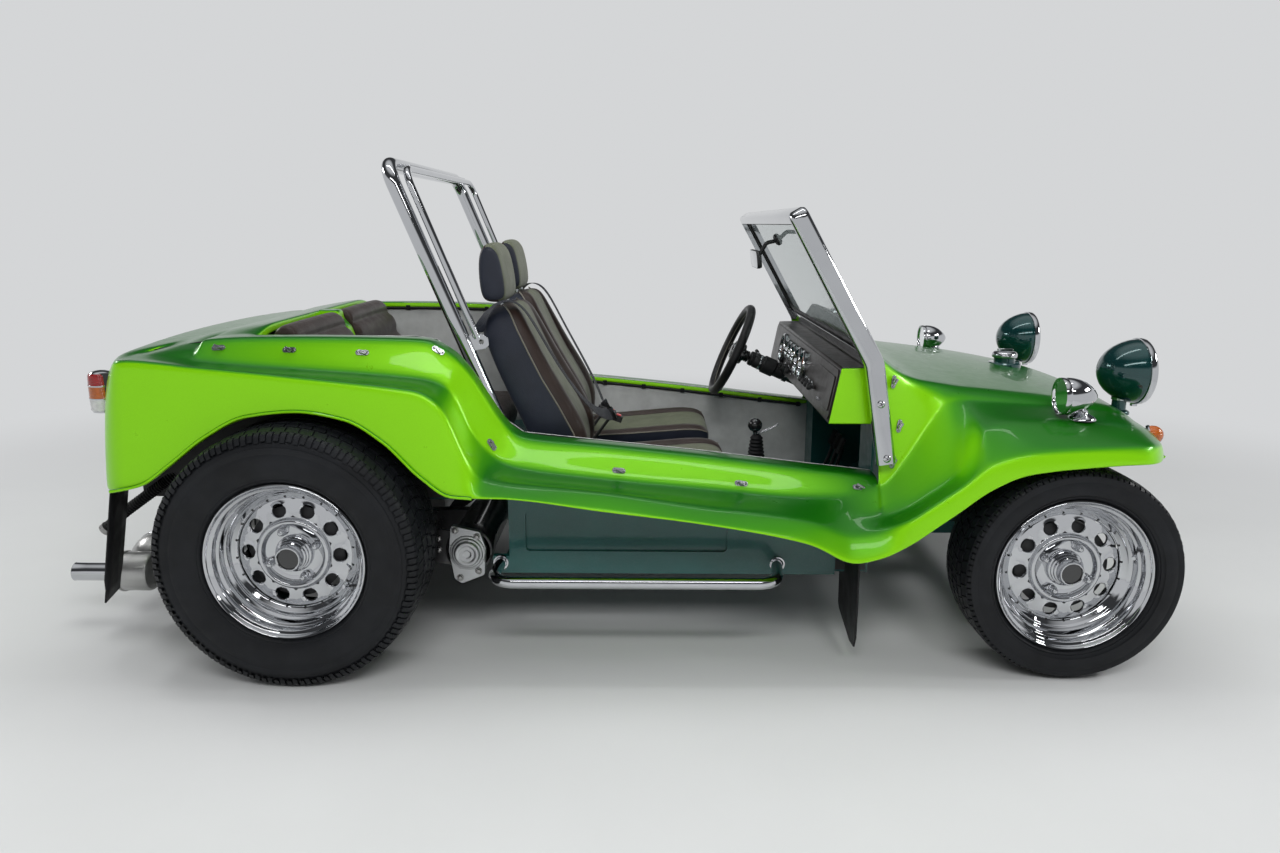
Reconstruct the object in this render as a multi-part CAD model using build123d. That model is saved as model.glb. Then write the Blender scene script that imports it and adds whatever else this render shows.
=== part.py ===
# Open two-seat dune buggy with a bench behind, on a shortened air-cooled car pan.
# It is built in millimetres: x runs forward from the rear axle, y to the left, z up from the floor.
# When a node is written it moves back by ORIGIN_X, so that the origin is under the middle of the car.

import os
from math import cos, hypot, radians, sin

from build123d import *

# Whole car
WHEELBASE = 2030.0
TAIL_X = -790.0
NOSE_AHEAD = 342.0
NOSE_X = WHEELBASE + NOSE_AHEAD
ORIGIN_X = (TAIL_X + NOSE_X) / 2
WALL = 6.0
GAP = 5.0
PIN_GAP = 0.5
WHEEL_ROOM = 24.0

# Wheels and tyres
REAR_TYRE_R = 343.5
REAR_TYRE_W = 268.0
REAR_TRACK_Y = 716.0
FRONT_TYRE_R = 288.0
FRONT_TYRE_W = 200.0
FRONT_TRACK_Y = 668.0
FLANGE_R = 208.0
BEAD_R = 190.0
WELL_R = 166.0
RIM_T = 5.0
REAR_DISH = 78.0
FRONT_DISH = 70.0
DISC_HOLE_R = 17.5
DISC_HOLE_PCD_R = 119.0
DISC_HOLES = 10
LUG_PCD_R = 65.0
LUGS = 4
DRUM_R = 124.0
HUB_R = 30.0
SPINDLE_R = 18.0

# Body shell
RAIL_IN_Y = 540.0
RAIL_OUT_Y = 600.0
RIDGE_Y = 640.0
DIP_Y = 690.0
CREST_Y = 745.0
LIP_Y = 785.0
LIP_Z = 499.0
HOOD_CROWN = 24.0
ARCH_ROUND = 90.0
BEAD_ROLL_R = 5.0
HUMP_Y = 400.0
HUMP_ROUND = 300.0
DIVIDER_Y = 28.0
COWL_BACK = 495.0
COWL_X = WHEELBASE - COWL_BACK
REAR_BOW = 103.0
REAR_X = -555.0
REAR_CORNER_Y = 770.0
TAIL_LOW_Z = 520.0
TAIL_SHOULDER_Z = 772.0
TAIL_ROUND = 78.0
ENGINE_HOLE_Y = 400.0
ENGINE_HOLE_Z = 700.0
DECK_FRONT_X = -172.0
FIREWALL_X = -192.0
LINER_T = 6.0

# Floor
PAN_Z = 216.0
PAN_T = 8.0
PAN_Y = 560.0
PAN_FRONT_X = COWL_X - 90
PAN_REAR_X = 500.0
TUNNEL_W = 150.0
TUNNEL_H = 165.0
SHELF_Z = 430.0
KICK_X = 560.0
CHANNEL_TOP_Z = 478.0
PAN_RAIL_Z = 266.0
PAN_RAIL_X = 481.0
FOOT_IN = 268.0
FOOT_Y = FRONT_TRACK_Y - FOOT_IN
FOOT_X = COWL_X + 245
FOOT_TOP_Z = 640.0
INNER_WALL_X = WHEELBASE + 232
INNER_WALL_Z = 440.0

# Rear mechanical parts
TORSION_X = 417.0
TORSION_Z = 287.0
TORSION_R = 62.0
TORSION_Y = 596.0
SPRING_IN = 160.0
SPRING_T = 8.0
SPRING_Y = REAR_TRACK_Y - SPRING_IN
REAR_DRUM_DEPTH = 76.0
ENGINE_FRONT_X = -192.0
CRANK_Z = 340.0
FAN_Z = 600.0
CARB_X = -452.0
MUFFLER_X = -600.0
MUFFLER_Z = 180.0
MUFFLER_R = 68.0
MUFFLER_Y = 460.0
TAILPIPE_Y = 430.0
TAILPIPE_Z = 162.0
TAILPIPE_R = 28.0
TAILPIPE_BORE_R = 25.5

# Front mechanical parts
FRONT_DRUM_DEPTH = 56.0
AXLE_Z = FRONT_TYRE_R
KINGPIN_IN = 90.0
KINGPIN_Y = FRONT_TRACK_Y - KINGPIN_IN
BEAM_AHEAD = 150.0
BEAM_X = WHEELBASE + BEAM_AHEAD
BEAM_RISE = 75.0
BEAM_R = 28.0
LINK_PIN_IN = 116.0
ARM_T = 26.0
ARM_OUT_Y = KINGPIN_Y - LINK_PIN_IN
BEAM_Y = ARM_OUT_Y - ARM_T
STEER_ARM_BACK = 115.0
STEER_ARM_IN = 52.0
STEER_ARM_RISE = 18.0
ROD_TOP_Z = AXLE_Z + STEER_ARM_RISE - GAP
ROD_R = 10.0
ROD_EYE_R = 15.0

# Steering wheel and column
STEERING_IN = 70.0
WHEEL_HUB = (COWL_X - 315, FOOT_Y - STEERING_IN, 736.0)
COLUMN_TILT = 24.0
STEERING_WHEEL_R = 175.0
STEERING_RIM_R = 15.0

# Windscreen
SCREEN_Y = 640.0
SCREEN_BAR = 50.0
SCREEN_DEPTH = 28.0
SCREEN_TOP = (COWL_X - 257, 1216.0)
SCREEN_KNEE = (COWL_X - 32, 829.0)
SCREEN_FOOT = (COWL_X + 15, 548.0)
GLASS_T = 6.0

# Roll bar
ROLL_Y = 480.0
ROLL_R = 22.0
ROLL_TOP = (218.0, 1337.0)
ROLL_FOOT = (545.0, 560.0)
STAY_R = 14.0

# Lamps and mirrors
LAMP_R = 93.5
LAMP_Y = 400.0
LAMP_Z = 778.0
LAMP_RIM_X = NOSE_X - 42
LAMP_TIP_X = NOSE_X - 174
LAMP_FOOT_Z = 652.0
MIRROR_X = WHEELBASE - 52
MIRROR_R = 50.0
MIRROR_Y = 641.0
MIRROR_Z = 745.0
MIRROR_FOOT_Z = 690.0
SIGNAL_X = NOSE_X - 76
SIGNAL_Y = 585.0
SIGNAL_Z = 632.0
SIGNAL_R = 27.0
FILLER_X = WHEELBASE + 54

# Seats
SEAT_IN_Y = 66.0
SEAT_OUT_Y = 450.0
SEAT_MIDDLE_Y = (SEAT_IN_Y + SEAT_OUT_Y) / 2
CUSHION_LOW_Z = 440.0
CUSHION_REAR_X = 700.0
CUSHION_FRONT_X = COWL_X - 429
LEVER_X = COWL_X - 253

# Body sections. Each row is one cross-section of the left side, from the cockpit rail outboard:
# x, rail z, ridge z, dip z, crest z, lip z
REAR_ROWS = [
    (-570, 838, 832, 828, 826, LIP_Z),
    (-290, 873, 843, 834, 840, LIP_Z),
    (0, 886, 824, 812, 820, LIP_Z),
    (290, 884, 787, 776, 791, LIP_Z),
    (345, 876, 778, 765, 776, LIP_Z),
    (390, 842, 765, 750, 748, LIP_Z),
    (440, 787, 655, 640, 640, LIP_Z),
    (490, 708, 590, 560, 542, LIP_Z),
]
SILL_ROWS = [
    (490, 708, 590, 560, 542, LIP_Z),
    (530, 652, 556, 541, 536, LIP_Z),
    (575, 620, 541, 527, 530, 497),
    (790, 598, 514, 500, 511, 468),
    (1060, 571, 489, 474, 471, 434),
    (COWL_X - 195, 538, 466, 448, 432, 380),
    (COWL_X - 85, 526, 470, 440, 400, 333),
    (COWL_X, 516, 498, 440, 402, 338),
]
# The rail's outer edge, the foot of the rail, the valley and the crest
SIDE_RADII = [12, 9, 18, 16]
# Distance ahead of the front axle, hood edge y z, ridge y z, dip y z, crest y z, lip y z
FRONT_ROWS = [
    (-COWL_BACK, 612, 835, 638, 499, 690, 440, 745, 402, 785, 338),
    (-435, 558, 788, 636, 572, 690, 485, 745, 432, 785, 365),
    (-375, 508, 762, 622, 660, 684, 552, 745, 467, 785, 401),
    (-315, 490, 750, 600, 716, 678, 620, 745, 512, 785, 446),
    (-230, 480, 738, 580, 724, 672, 668, 745, 597, 785, 516),
    (-160, 478, 730, 575, 720, 665, 682, 745, 620, 785, 554),
    (5, 470, 712, 570, 708, 655, 688, 745, 629, 785, 583),
    (145, 460, 690, 560, 692, 650, 676, 740, 636, 780, 592),
    (205, 455, 675, 555, 676, 640, 655, 712, 628, 745, 592),
    (255, 440, 648, 530, 645, 605, 622, 655, 604, 680, 580),
    (290, 400, 605, 470, 600, 530, 590, 570, 582, 585, 566),
]
# The ridge, the hollow and the crest
FRONT_RADII = [24, 24, 16]
# The wheel arch in the rear wing's outer wall, as (x, z), from the tail forward
ARCH = [(-420, 520), (-375, 520), (-205, 651), (-100, 703), (22, 718), (144, 703), (240, 645), (420, 502)]
# x, edge z, middle z of the tail deck, whose middle is a low flat hump
DECK_ROWS = [(-570, 838, 852), (-290, 873, 893), (DECK_FRONT_X, 879, 903)]


def outline_face(points, radii):
    """A face inside a closed outline, with an arc of the given radius in each corner.
    radii is one radius for all corners, or a list with one for each."""
    return make_face(FilletPolyline(*points, radius=radii, close=True))


def side_plate(outline, y_low, y_high, radii=0):
    """A plate cut to an (x, z) outline between two y planes."""
    face = outline_face([(x, y_low, z) for x, z in outline], radii)
    return extrude(face, amount=y_high - y_low, dir=(0, 1, 0))


def cross_plate(outline, x_low, x_high, radii=0):
    """A plate cut to a (y, z) outline between two x planes."""
    face = outline_face([(x_low, y, z) for y, z in outline], radii)
    return extrude(face, amount=x_high - x_low, dir=(1, 0, 0))


def plan_plate(outline, z_low, z_high, radii=0):
    """A plate cut to an (x, y) outline between two heights."""
    face = outline_face([(x, y, z_low) for x, y in outline], radii)
    return extrude(face, amount=z_high - z_low, dir=(0, 0, 1))


def block(x_low, x_high, y_low, y_high, z_low, z_high):
    """A rectangular block between six planes."""
    size = (x_high - x_low, y_high - y_low, z_high - z_low)
    centre = ((x_low + x_high) / 2, (y_low + y_high) / 2, (z_low + z_high) / 2)
    return Pos(*centre) * Box(*size)


def rod(start, end, radius, bore=0.0):
    """A round bar or tube between two points."""
    path = Line(start, end)
    plane = Plane(origin=start, z_dir=path.tangent_at(0))
    solid = extrude(plane * Circle(radius), amount=path.length)
    if bore:
        solid -= extrude(plane * Circle(bore), amount=path.length)
    return solid


def bent_tube(points, radius, bend):
    """A round tube along straight runs joined by arcs."""
    path = FilletPolyline(*points, radius=bend)
    plane = Plane(origin=path @ 0, z_dir=path % 0)
    return sweep(plane * Circle(radius), path=path)


def turned_x(outline, radii=0):
    """A solid turned about the X axis from an (x, r) outline."""
    face = outline_face([(x, r, 0) for x, r in outline], radii)
    return revolve(face, Axis.X, 360)


def turned_y(outline, radii=0):
    """A solid turned about the Y axis from a (y, r) outline."""
    face = outline_face([(r, y, 0) for y, r in outline], radii)
    return revolve(face, Axis.Y, 360)


def right_of(shape):
    """The mirror image of a left-hand shape."""
    return mirror(Compound(shape.solids()), about=Plane.XZ)


def both_sides(shape):
    """The shape and its mirror image across the car's centre plane."""
    return [shape, right_of(shape)]


def save(name, *shapes):
    """Write one node, moved to the middle of the car."""
    solids = [solid for shape in shapes for solid in shape.solids()]
    node = Pos(-ORIGIN_X, 0, 0) * Compound(solids)
    export_step(node, os.path.join("parts", name + ".step"))


def inner_line(line, wall):
    """The (y, z) line that lies one wall inside an outer line that runs outboard and down."""
    normals = []
    for (y0, z0), (y1, z1) in zip(line, line[1:]):
        length = hypot(y1 - y0, z1 - z0)
        normals.append(((z1 - z0) / length, (y0 - y1) / length))
    result = []
    for index, (y, z) in enumerate(line):
        before = normals[max(index - 1, 0)]
        after = normals[min(index, len(normals) - 1)]
        mid_y, mid_z = before[0] + after[0], before[1] + after[1]
        share = wall * 2 / (mid_y**2 + mid_z**2)
        result.append((y + mid_y * share, z + mid_z * share))
    return result


def lofted(stations, radii):
    """A solid lofted through cross-sections, each given as x and a closed (y, z) outline."""
    faces = [outline_face([(x, y, z) for y, z in outline], radii) for x, outline in stations]
    return loft(faces, ruled=True)


def skin(stations, radii, wall=WALL):
    """A wall lofted through cross-sections, each given as x and an outer (y, z) line.
    radii holds the line's corner arcs, from the rail outboard, without its two ends."""
    loops = [(x, line + inner_line(line, wall)[::-1]) for x, line in stations]
    return lofted(loops, [0] + radii + [0, 0] + radii[::-1] + [0])


def filled(stations, radii, inset, low_z, in_y):
    """The solid under cross-sections, each set inwards, down to a height and in to a y plane."""
    loops = []
    for x, line in stations:
        top = inner_line(line, inset) if inset else line
        (crest_y, crest_z), (lip_y, lip_z) = top[-2:]
        foot_y = lip_y + (lip_z - low_z) * (lip_y - crest_y) / (crest_z - lip_z)
        loops.append((x, [(in_y, top[0][1])] + top[1:-1] + [(foot_y, low_z), (in_y, low_z)]))
    return lofted(loops, [0] + radii + [0, 0])


def side_line(row):
    """The outer line of one side section, from the rail to the lip."""
    x, rail, ridge, dip, crest, lip = row
    line = [(RAIL_IN_Y, rail), (RAIL_OUT_Y, rail), (RIDGE_Y, ridge)]
    return x, line + [(DIP_Y, dip), (CREST_Y, crest), (LIP_Y, lip)]


def front_line(row):
    """The outer line of one front wing section, from the hood's edge to the lip."""
    return WHEELBASE + row[0], [(row[i], row[i + 1]) for i in range(1, 11, 2)]


def rear_limit(inset=0.0):
    """What lies inside the tail, set inwards: bowed in plan, with a rounded top edge."""
    bow_r = (REAR_CORNER_Y**2 + REAR_BOW**2) / (2 * REAR_BOW)
    radius = bow_r - inset
    turn = TAIL_ROUND - inset
    wall = Line((0, -100), (radius, -100)), Line((radius, -100), (radius, TAIL_SHOULDER_Z))
    edge = CenterArc((radius - turn, TAIL_SHOULDER_Z), turn, 0, 80)
    lid = Line(edge @ 1, (radius - 900, TAIL_SHOULDER_Z + TAIL_ROUND + 140))
    back = Line(lid @ 1, (0, (lid @ 1).Y)), Line((0, (lid @ 1).Y), (0, -100))
    face = make_face(Curve() + [*wall, edge, lid, *back])
    return Pos(REAR_X + bow_r, 0, 0) * Rot(90, 0, 0) * revolve(face, Axis.Y, 360)


def arch_bead():
    """The rolled edge along the rear wheel arch, on the wing's outer wall."""
    crest_z = REAR_ROWS[2][4]
    lean = (LIP_Y - CREST_Y) / (crest_z - LIP_Z)
    line = [(x, CREST_Y + (crest_z - z) * lean - WALL / 2, z) for x, z in ARCH[1:]]
    return bent_tube(line, BEAD_ROLL_R, ARCH_ROUND)


def make_rear_wing():
    """Left rear wing with its ledge, crest, arch and tail face, rounded into the deck."""
    lines = [side_line(row) for row in REAR_ROWS]
    outside = filled(lines, SIDE_RADII, 0, LIP_Z, RAIL_IN_Y) & rear_limit()
    inside = filled(lines, SIDE_RADII, WALL, LIP_Z - 60, RAIL_IN_Y - 20) & rear_limit(WALL)
    shell = outside - inside - block(REAR_X - 40, ARCH[0][0], 0, LIP_Y + 60, 400, TAIL_LOW_Z)
    arch = [(ARCH[0][0], 400)] + ARCH + [(480, LIP_Z - 20), (480, 400)]
    arch_radii = [0, 0, 40] + [ARCH_ROUND] * 5 + [0, 0, 0]
    return shell - side_plate(arch, DIP_Y + 8, LIP_Y + 60, arch_radii) + arch_bead()


def make_side():
    """Left cockpit side between the wings: rail band, ledge and sill lip."""
    return skin([side_line(row) for row in SILL_ROWS], SIDE_RADII)


def make_front_wing(wall=WALL):
    """Left front wing with the cowl side, the hollow behind the wheel and the lip."""
    return skin([front_line(row) for row in FRONT_ROWS], FRONT_RADII, wall)


def rear_wheel_room():
    """The space that the left rear tyre needs, which the body's inner walls stay out of."""
    y_in = REAR_TRACK_Y - REAR_TYRE_W / 2 - WHEEL_ROOM
    return rod((0, y_in, REAR_TYRE_R), (0, LIP_Y + 60, REAR_TYRE_R), REAR_TYRE_R + WHEEL_ROOM)


def hood_face(x, edge_y, edge_z, above, below):
    """One crowned hood section, from above the hood's outside to below it."""
    top_z, under_z = edge_z + above, edge_z - below
    top = ThreePointArc((x, -edge_y, top_z), (x, 0, top_z + HOOD_CROWN), (x, edge_y, top_z))
    under = ThreePointArc((x, edge_y, under_z), (x, 0, under_z + HOOD_CROWN), (x, -edge_y, under_z))
    ends = [Line(top @ 1, under @ 0), Line(under @ 1, top @ 0)]
    return make_face(Curve() + [top, ends[0], under, ends[1]])


def hood_layer(above, below):
    """A layer that follows the hood, from above its outside to below it."""
    faces = [hood_face(WHEELBASE + row[0], row[1], row[2], above, below) for row in FRONT_ROWS]
    return loft(faces, ruled=True)


def make_hood():
    """The front lid and nose between the wings."""
    return hood_layer(0, WALL)


def deck_form(inset, low_z, edge_y):
    """The solid under the tail deck, set down by inset and cut to the tail."""
    loops = []
    for x, edge, middle in DECK_ROWS:
        top = [(-edge_y, edge - inset), (-HUMP_Y, middle - inset)]
        top += [(HUMP_Y, middle - inset), (edge_y, edge - inset)]
        loops.append((x, top + [(edge_y, low_z), (-edge_y, low_z)]))
    return lofted(loops, [0, HUMP_ROUND, HUMP_ROUND, 0, 0, 0]) & rear_limit(inset)


def make_rear_deck():
    """The tail deck over the engine, open above it behind, and the band between the rear backs."""
    edge_y = RAIL_IN_Y - LINER_T
    deck = deck_form(0, TAIL_LOW_Z, edge_y) - deck_form(WALL, TAIL_LOW_Z - 60, edge_y + 20)
    hole = [(-ENGINE_HOLE_Y - 30, TAIL_LOW_Z - 20), (-ENGINE_HOLE_Y, ENGINE_HOLE_Z)]
    hole += [(ENGINE_HOLE_Y, ENGINE_HOLE_Z), (ENGINE_HOLE_Y + 30, TAIL_LOW_Z - 20)]
    deck -= cross_plate(hole, REAR_X - 40, -400, [0, 50, 50, 0])
    band = [(DECK_FRONT_X, DECK_ROWS[-1][2]), (-94, 905), (-88, 872), (-61, 848), (-54, 823)]
    band += [(20, 560), (20, SHELF_Z), (DECK_FRONT_X, SHELF_Z)]
    return deck + side_plate(band, -DIVIDER_Y, DIVIDER_Y, [0, 6, 6, 6, 6, 20, 0, 0])


def rail_top():
    """The (x, z) line of the cockpit rail, from tail to cowl."""
    return [(row[0], row[1]) for row in REAR_ROWS[:-1] + SILL_ROWS]


def make_liners():
    """The cockpit's inner side walls, from the floor or shelf up to the rail."""
    low = [(COWL_X, PAN_Z + PAN_T), (KICK_X, PAN_Z + PAN_T), (KICK_X, SHELF_Z), (-570, SHELF_Z)]
    wall = side_plate(rail_top() + low, RAIL_IN_Y - LINER_T, RAIL_IN_Y)
    return (wall & rear_limit(WALL)) - rear_wheel_room()


def make_shelf():
    """Rear floor over the gearbox with its kick-up and the firewall behind the bench."""
    half = RAIL_IN_Y - LINER_T
    floor = block(FIREWALL_X, KICK_X, -half, half, SHELF_Z - WALL, SHELF_Z)
    top = deck_form(WALL, SHELF_Z - WALL, half)
    floor += block(FIREWALL_X, FIREWALL_X + WALL, -half, half, SHELF_Z - WALL, 1000) & top
    for room in both_sides(rear_wheel_room()):
        floor -= room
    kick = block(KICK_X, KICK_X + WALL, -half, half, PAN_Z + PAN_T, SHELF_Z)
    kick -= block(KICK_X, KICK_X + WALL, -TUNNEL_W / 2, TUNNEL_W / 2, PAN_Z, PAN_Z + TUNNEL_H)
    return floor + kick


def make_bulkhead():
    """Footwell box ahead of the pan and the inner walls under the hood."""
    half = RAIL_IN_Y - LINER_T
    floor_z = PAN_Z + PAN_T
    rise_x = COWL_X + 105
    outer = [(PAN_FRONT_X, PAN_Z), (COWL_X, PAN_Z), (rise_x, 250), (FOOT_X, 340), (FOOT_X, FOOT_TOP_Z)]
    inner = [(FOOT_X - WALL, FOOT_TOP_Z), (FOOT_X - WALL, 345), (rise_x - 3, 257)]
    inner += [(COWL_X, floor_z), (PAN_FRONT_X, floor_z)]
    toe = side_plate(outer + inner, -FOOT_Y, FOOT_Y)
    side = [(COWL_X, PAN_Z), (rise_x, 250), (FOOT_X, 340), (FOOT_X, INNER_WALL_Z)]
    side += [(INNER_WALL_X, INNER_WALL_Z), (INNER_WALL_X, 860), (COWL_X + 65, 860)]
    side += [(COWL_X + 33, FOOT_TOP_Z), (COWL_X, FOOT_TOP_Z)]
    cheek = side_plate(side, FOOT_Y - WALL, FOOT_Y) - hood_layer(400, WALL)
    step = block(COWL_X, COWL_X + WALL, FOOT_Y, half + LINER_T, PAN_Z, FOOT_TOP_Z)
    edge = block(PAN_FRONT_X, COWL_X, FOOT_Y - WALL, half, PAN_Z, floor_z)
    return toe + both_sides(cheek) + both_sides(step) + both_sides(edge)


def make_floor_pan():
    """Pressed floor with its centre tunnel and the fork to the front beam."""
    tray = block(PAN_REAR_X, PAN_FRONT_X, -PAN_Y, PAN_Y, PAN_Z, PAN_Z + PAN_T)
    half = TUNNEL_W / 2
    top = PAN_Z + TUNNEL_H
    arched = [(-half, PAN_Z), (-half, top), (half, top), (half, PAN_Z)]
    tunnel = cross_plate(arched, TORSION_X, PAN_FRONT_X, [0, 55, 55, 0])
    rib_x = [700 + 160 * n for n in range(4)]
    ribs = [block(x, x + 60, 110, 490, PAN_Z - 5, PAN_Z) for x in rib_x if x + 60 < PAN_FRONT_X]
    head = block(PAN_FRONT_X - 60, BEAM_X, -half + 8, half - 8, PAN_Z - 40, PAN_Z)
    rail = block(PAN_RAIL_X, PAN_FRONT_X, RAIL_IN_Y, PAN_Y, PAN_Z, PAN_RAIL_Z)
    pan = tray + tunnel + head + both_sides(rail)
    for rib in ribs:
        pan += both_sides(rib)
    return pan


def make_channel():
    """Left heater channel: a long box with a pressed panel in its outer face."""
    front_x = COWL_X - 395
    outline = [(528, PAN_RAIL_Z), (528, CHANNEL_TOP_Z), (600, CHANNEL_TOP_Z), (front_x, 440)]
    outline += [(front_x + 150, 330), (PAN_FRONT_X, 285), (PAN_FRONT_X, PAN_RAIL_Z)]
    box = side_plate(outline, RAIL_IN_Y, PAN_Y)
    panel = [(575, 281), (575, 396), (front_x - 140, 396), (front_x, 350), (front_x, 281)]
    return box - side_plate(panel, PAN_Y - 8, PAN_Y, 12)


def tyre_profile(radius, width):
    """Half of a tyre's section as (y, r), from one bead over the tread to the other."""
    half = width / 2
    side = [(half - 26, BEAD_R), (half - 26, FLANGE_R + 0.5), (half - 9, FLANGE_R + 7)]
    side += [(half, (radius + FLANGE_R) / 2), (half - 5, radius - 30)]
    side += [(half - 18, radius - 8), (half - 36, radius)]
    return side


def make_tyre(radius, width):
    """A fat tyre on its bead seats, open inside."""
    side = tyre_profile(radius, width)
    outer = side + [(-y, r) for y, r in side[::-1]]
    inner = [(-width / 2 + 40, BEAD_R), (-width / 2 + 22, FLANGE_R + 26)]
    inner += [(-width / 2 + 34, radius - 16), (width / 2 - 34, radius - 16)]
    inner += [(width / 2 - 22, FLANGE_R + 26), (width / 2 - 40, BEAD_R)]
    return turned_y(outer + inner)


def make_rim(width, dish):
    """Chromed steel rim with a stepped dish, ten round holes, nuts and a long hub cap.
    It is turned about the wheel's own axle, with +y outboard and y = 0 in the tyre's middle."""
    half = width / 2
    lip = half - 14
    barrel = [(lip, FLANGE_R), (lip - 12, FLANGE_R), (lip - 12, BEAD_R), (lip - 50, BEAD_R)]
    barrel += [(lip - 62, WELL_R + RIM_T), (-lip + 62, WELL_R + RIM_T), (-lip + 50, BEAD_R)]
    barrel += [(-lip + 12, BEAD_R), (-lip + 12, FLANGE_R), (-lip, FLANGE_R)]
    barrel += [(-lip, BEAD_R - RIM_T), (-lip + 52, BEAD_R - RIM_T), (-lip + 64, WELL_R)]
    barrel += [(lip - 64, WELL_R), (lip - 52, BEAD_R - RIM_T), (lip, BEAD_R - RIM_T)]
    face = lip - dish
    disc = [(face - 8, WELL_R + 1), (face + 6, WELL_R - 10), (face - 2, 150), (face - 2, 98)]
    disc += [(face + 12, 92), (face + 12, 84), (face, 78), (face, HUB_R), (face - 6, HUB_R)]
    disc += [(face - 6, 80), (face + 5, 86), (face - 8, 100), (face - 8, 150), (face - 16, WELL_R + 1)]
    rim = turned_y(barrel) + turned_y(disc)
    for n in range(DISC_HOLES):
        turn = 360 / DISC_HOLES * n
        hole = Rot(0, turn, 0) * Pos(DISC_HOLE_PCD_R, face - 5, 0) * Rot(90, 0, 0)
        rim -= hole * Cylinder(DISC_HOLE_R, 40)
    cap = [(face - 6, 0), (face - 6, 46), (face + 12, 46), (face + 16, 40), (face + 30, 40)]
    cap += [(face + 34, 35), (face + 50, 35), (face + 52, 27), (face + 47, 27), (face + 47, 0)]
    rim += turned_y(cap)
    for n in range(LUGS):
        turn = 360 / LUGS * n + 30
        nut = Rot(0, turn, 0) * Pos(LUG_PCD_R, face + 22, 0) * Rot(90, 0, 0)
        rim += nut * extrude(RegularPolygon(11, 6), amount=23)
    return rim


def make_drum(width, dish, depth):
    """Brake drum behind the disc, open at its back, with the hub round the spindle."""
    face = width / 2 - 14 - dish - 6
    bore = SPINDLE_R + PIN_GAP
    loop = [(face, 0), (face, 78), (face - 14, DRUM_R), (face - depth, DRUM_R)]
    loop += [(face - depth, DRUM_R - 8), (face - 20, DRUM_R - 8), (face - 10, 74)]
    loop += [(face - 10, 40), (face - depth + 8, 40), (face - depth + 8, bore)]
    loop += [(face - 12, bore), (face - 12, 0)]
    return turned_y(loop)


def at_wheel(solid, x, track_y, radius):
    """A left-hand wheel piece moved to its axle."""
    return Pos(x, track_y, radius) * solid


def rear_hub_face():
    """The outboard y of the rear wheel's disc back."""
    return REAR_TRACK_Y + REAR_TYRE_W / 2 - 14 - REAR_DISH - 6


def front_hub_face():
    """The outboard y of the front wheel's disc back."""
    return FRONT_TRACK_Y + FRONT_TYRE_W / 2 - 14 - FRONT_DISH - 6


def make_torsion_housing():
    """Cross tube of the rear torsion bars with its end covers and the gearbox fork."""
    half = TORSION_Y - 20
    tube = rod((TORSION_X, -half, TORSION_Z), (TORSION_X, half, TORSION_Z), TORSION_R)
    fork_x = TORSION_X - 37
    fork_line = [(fork_x, 240), (fork_x, 300), (-150, 300), (-150, 230), (300, 230)]
    fork = side_plate(fork_line, 200, 235)
    cradle = block(-150, -110, -235, 235, 222, 250)
    return tube + both_sides(fork) + cradle + both_sides(make_cover())


def make_cover():
    """Left cast end cap of the torsion housing, four-cornered with a round boss."""
    low, high = TORSION_Y - 20, TORSION_Y
    outline = [(372, 366), (452, 348), (468, 300), (462, 222), (398, 196), (378, 210), (364, 290)]
    plate = side_plate(outline, low, high, 8)
    boss = rod((TORSION_X, high, TORSION_Z), (TORSION_X, high + 16, TORSION_Z), 34)
    boss += rod((TORSION_X, high, TORSION_Z), (TORSION_X, high + 7, TORSION_Z), 44)
    corners = [(384, 352), (444, 334), (446, 234), (394, 214)]
    bolts = [rod((x, high, z), (x, high + 9, z), 8) for x, z in corners]
    return plate + boss + bolts


def make_spring_plate():
    """Left flat arm from the torsion housing to the axle's bearing housing."""
    outline = [(TORSION_X - 30, TORSION_Z + 50), (TORSION_X - 30, TORSION_Z - 50)]
    outline += [(-40, REAR_TYRE_R - 40), (-40, REAR_TYRE_R + 40), (60, REAR_TYRE_R + 40)]
    arm = side_plate(outline, SPRING_Y, SPRING_Y + SPRING_T, [10, 10, 20, 20, 30])
    arm -= rod((TORSION_X, 0, TORSION_Z), (TORSION_X, TORSION_Y, TORSION_Z), TORSION_R)
    housing_end = SPRING_Y + 84
    housing = rod((0, SPRING_Y + SPRING_T, REAR_TYRE_R), (0, housing_end, REAR_TYRE_R), 50)
    stub_end = rear_hub_face() - 12 - GAP
    stub = rod((0, housing_end, REAR_TYRE_R), (0, stub_end, REAR_TYRE_R), SPINDLE_R)
    return arm + housing + stub


def make_transaxle():
    """Gearbox with its bell housing, side covers and the two axle tubes."""
    case = block(-150, 250, -105, 105, 250, 420) - block(-150, 250, 60, 105, 380, 420)
    nose = rod((250, 0, 335), (340, 0, 335), 60)
    bell = rod((ENGINE_FRONT_X, 0, CRANK_Z), (-110, 0, CRANK_Z), 78)
    tubes = [rod((0, 105, REAR_TYRE_R), (0, SPRING_Y, REAR_TYRE_R), 36)]
    tubes += [rod((0, 105, REAR_TYRE_R), (0, 190, REAR_TYRE_R), 74)]
    whole = case + nose + bell
    for tube in tubes:
        whole += both_sides(tube)
    return whole


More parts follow.
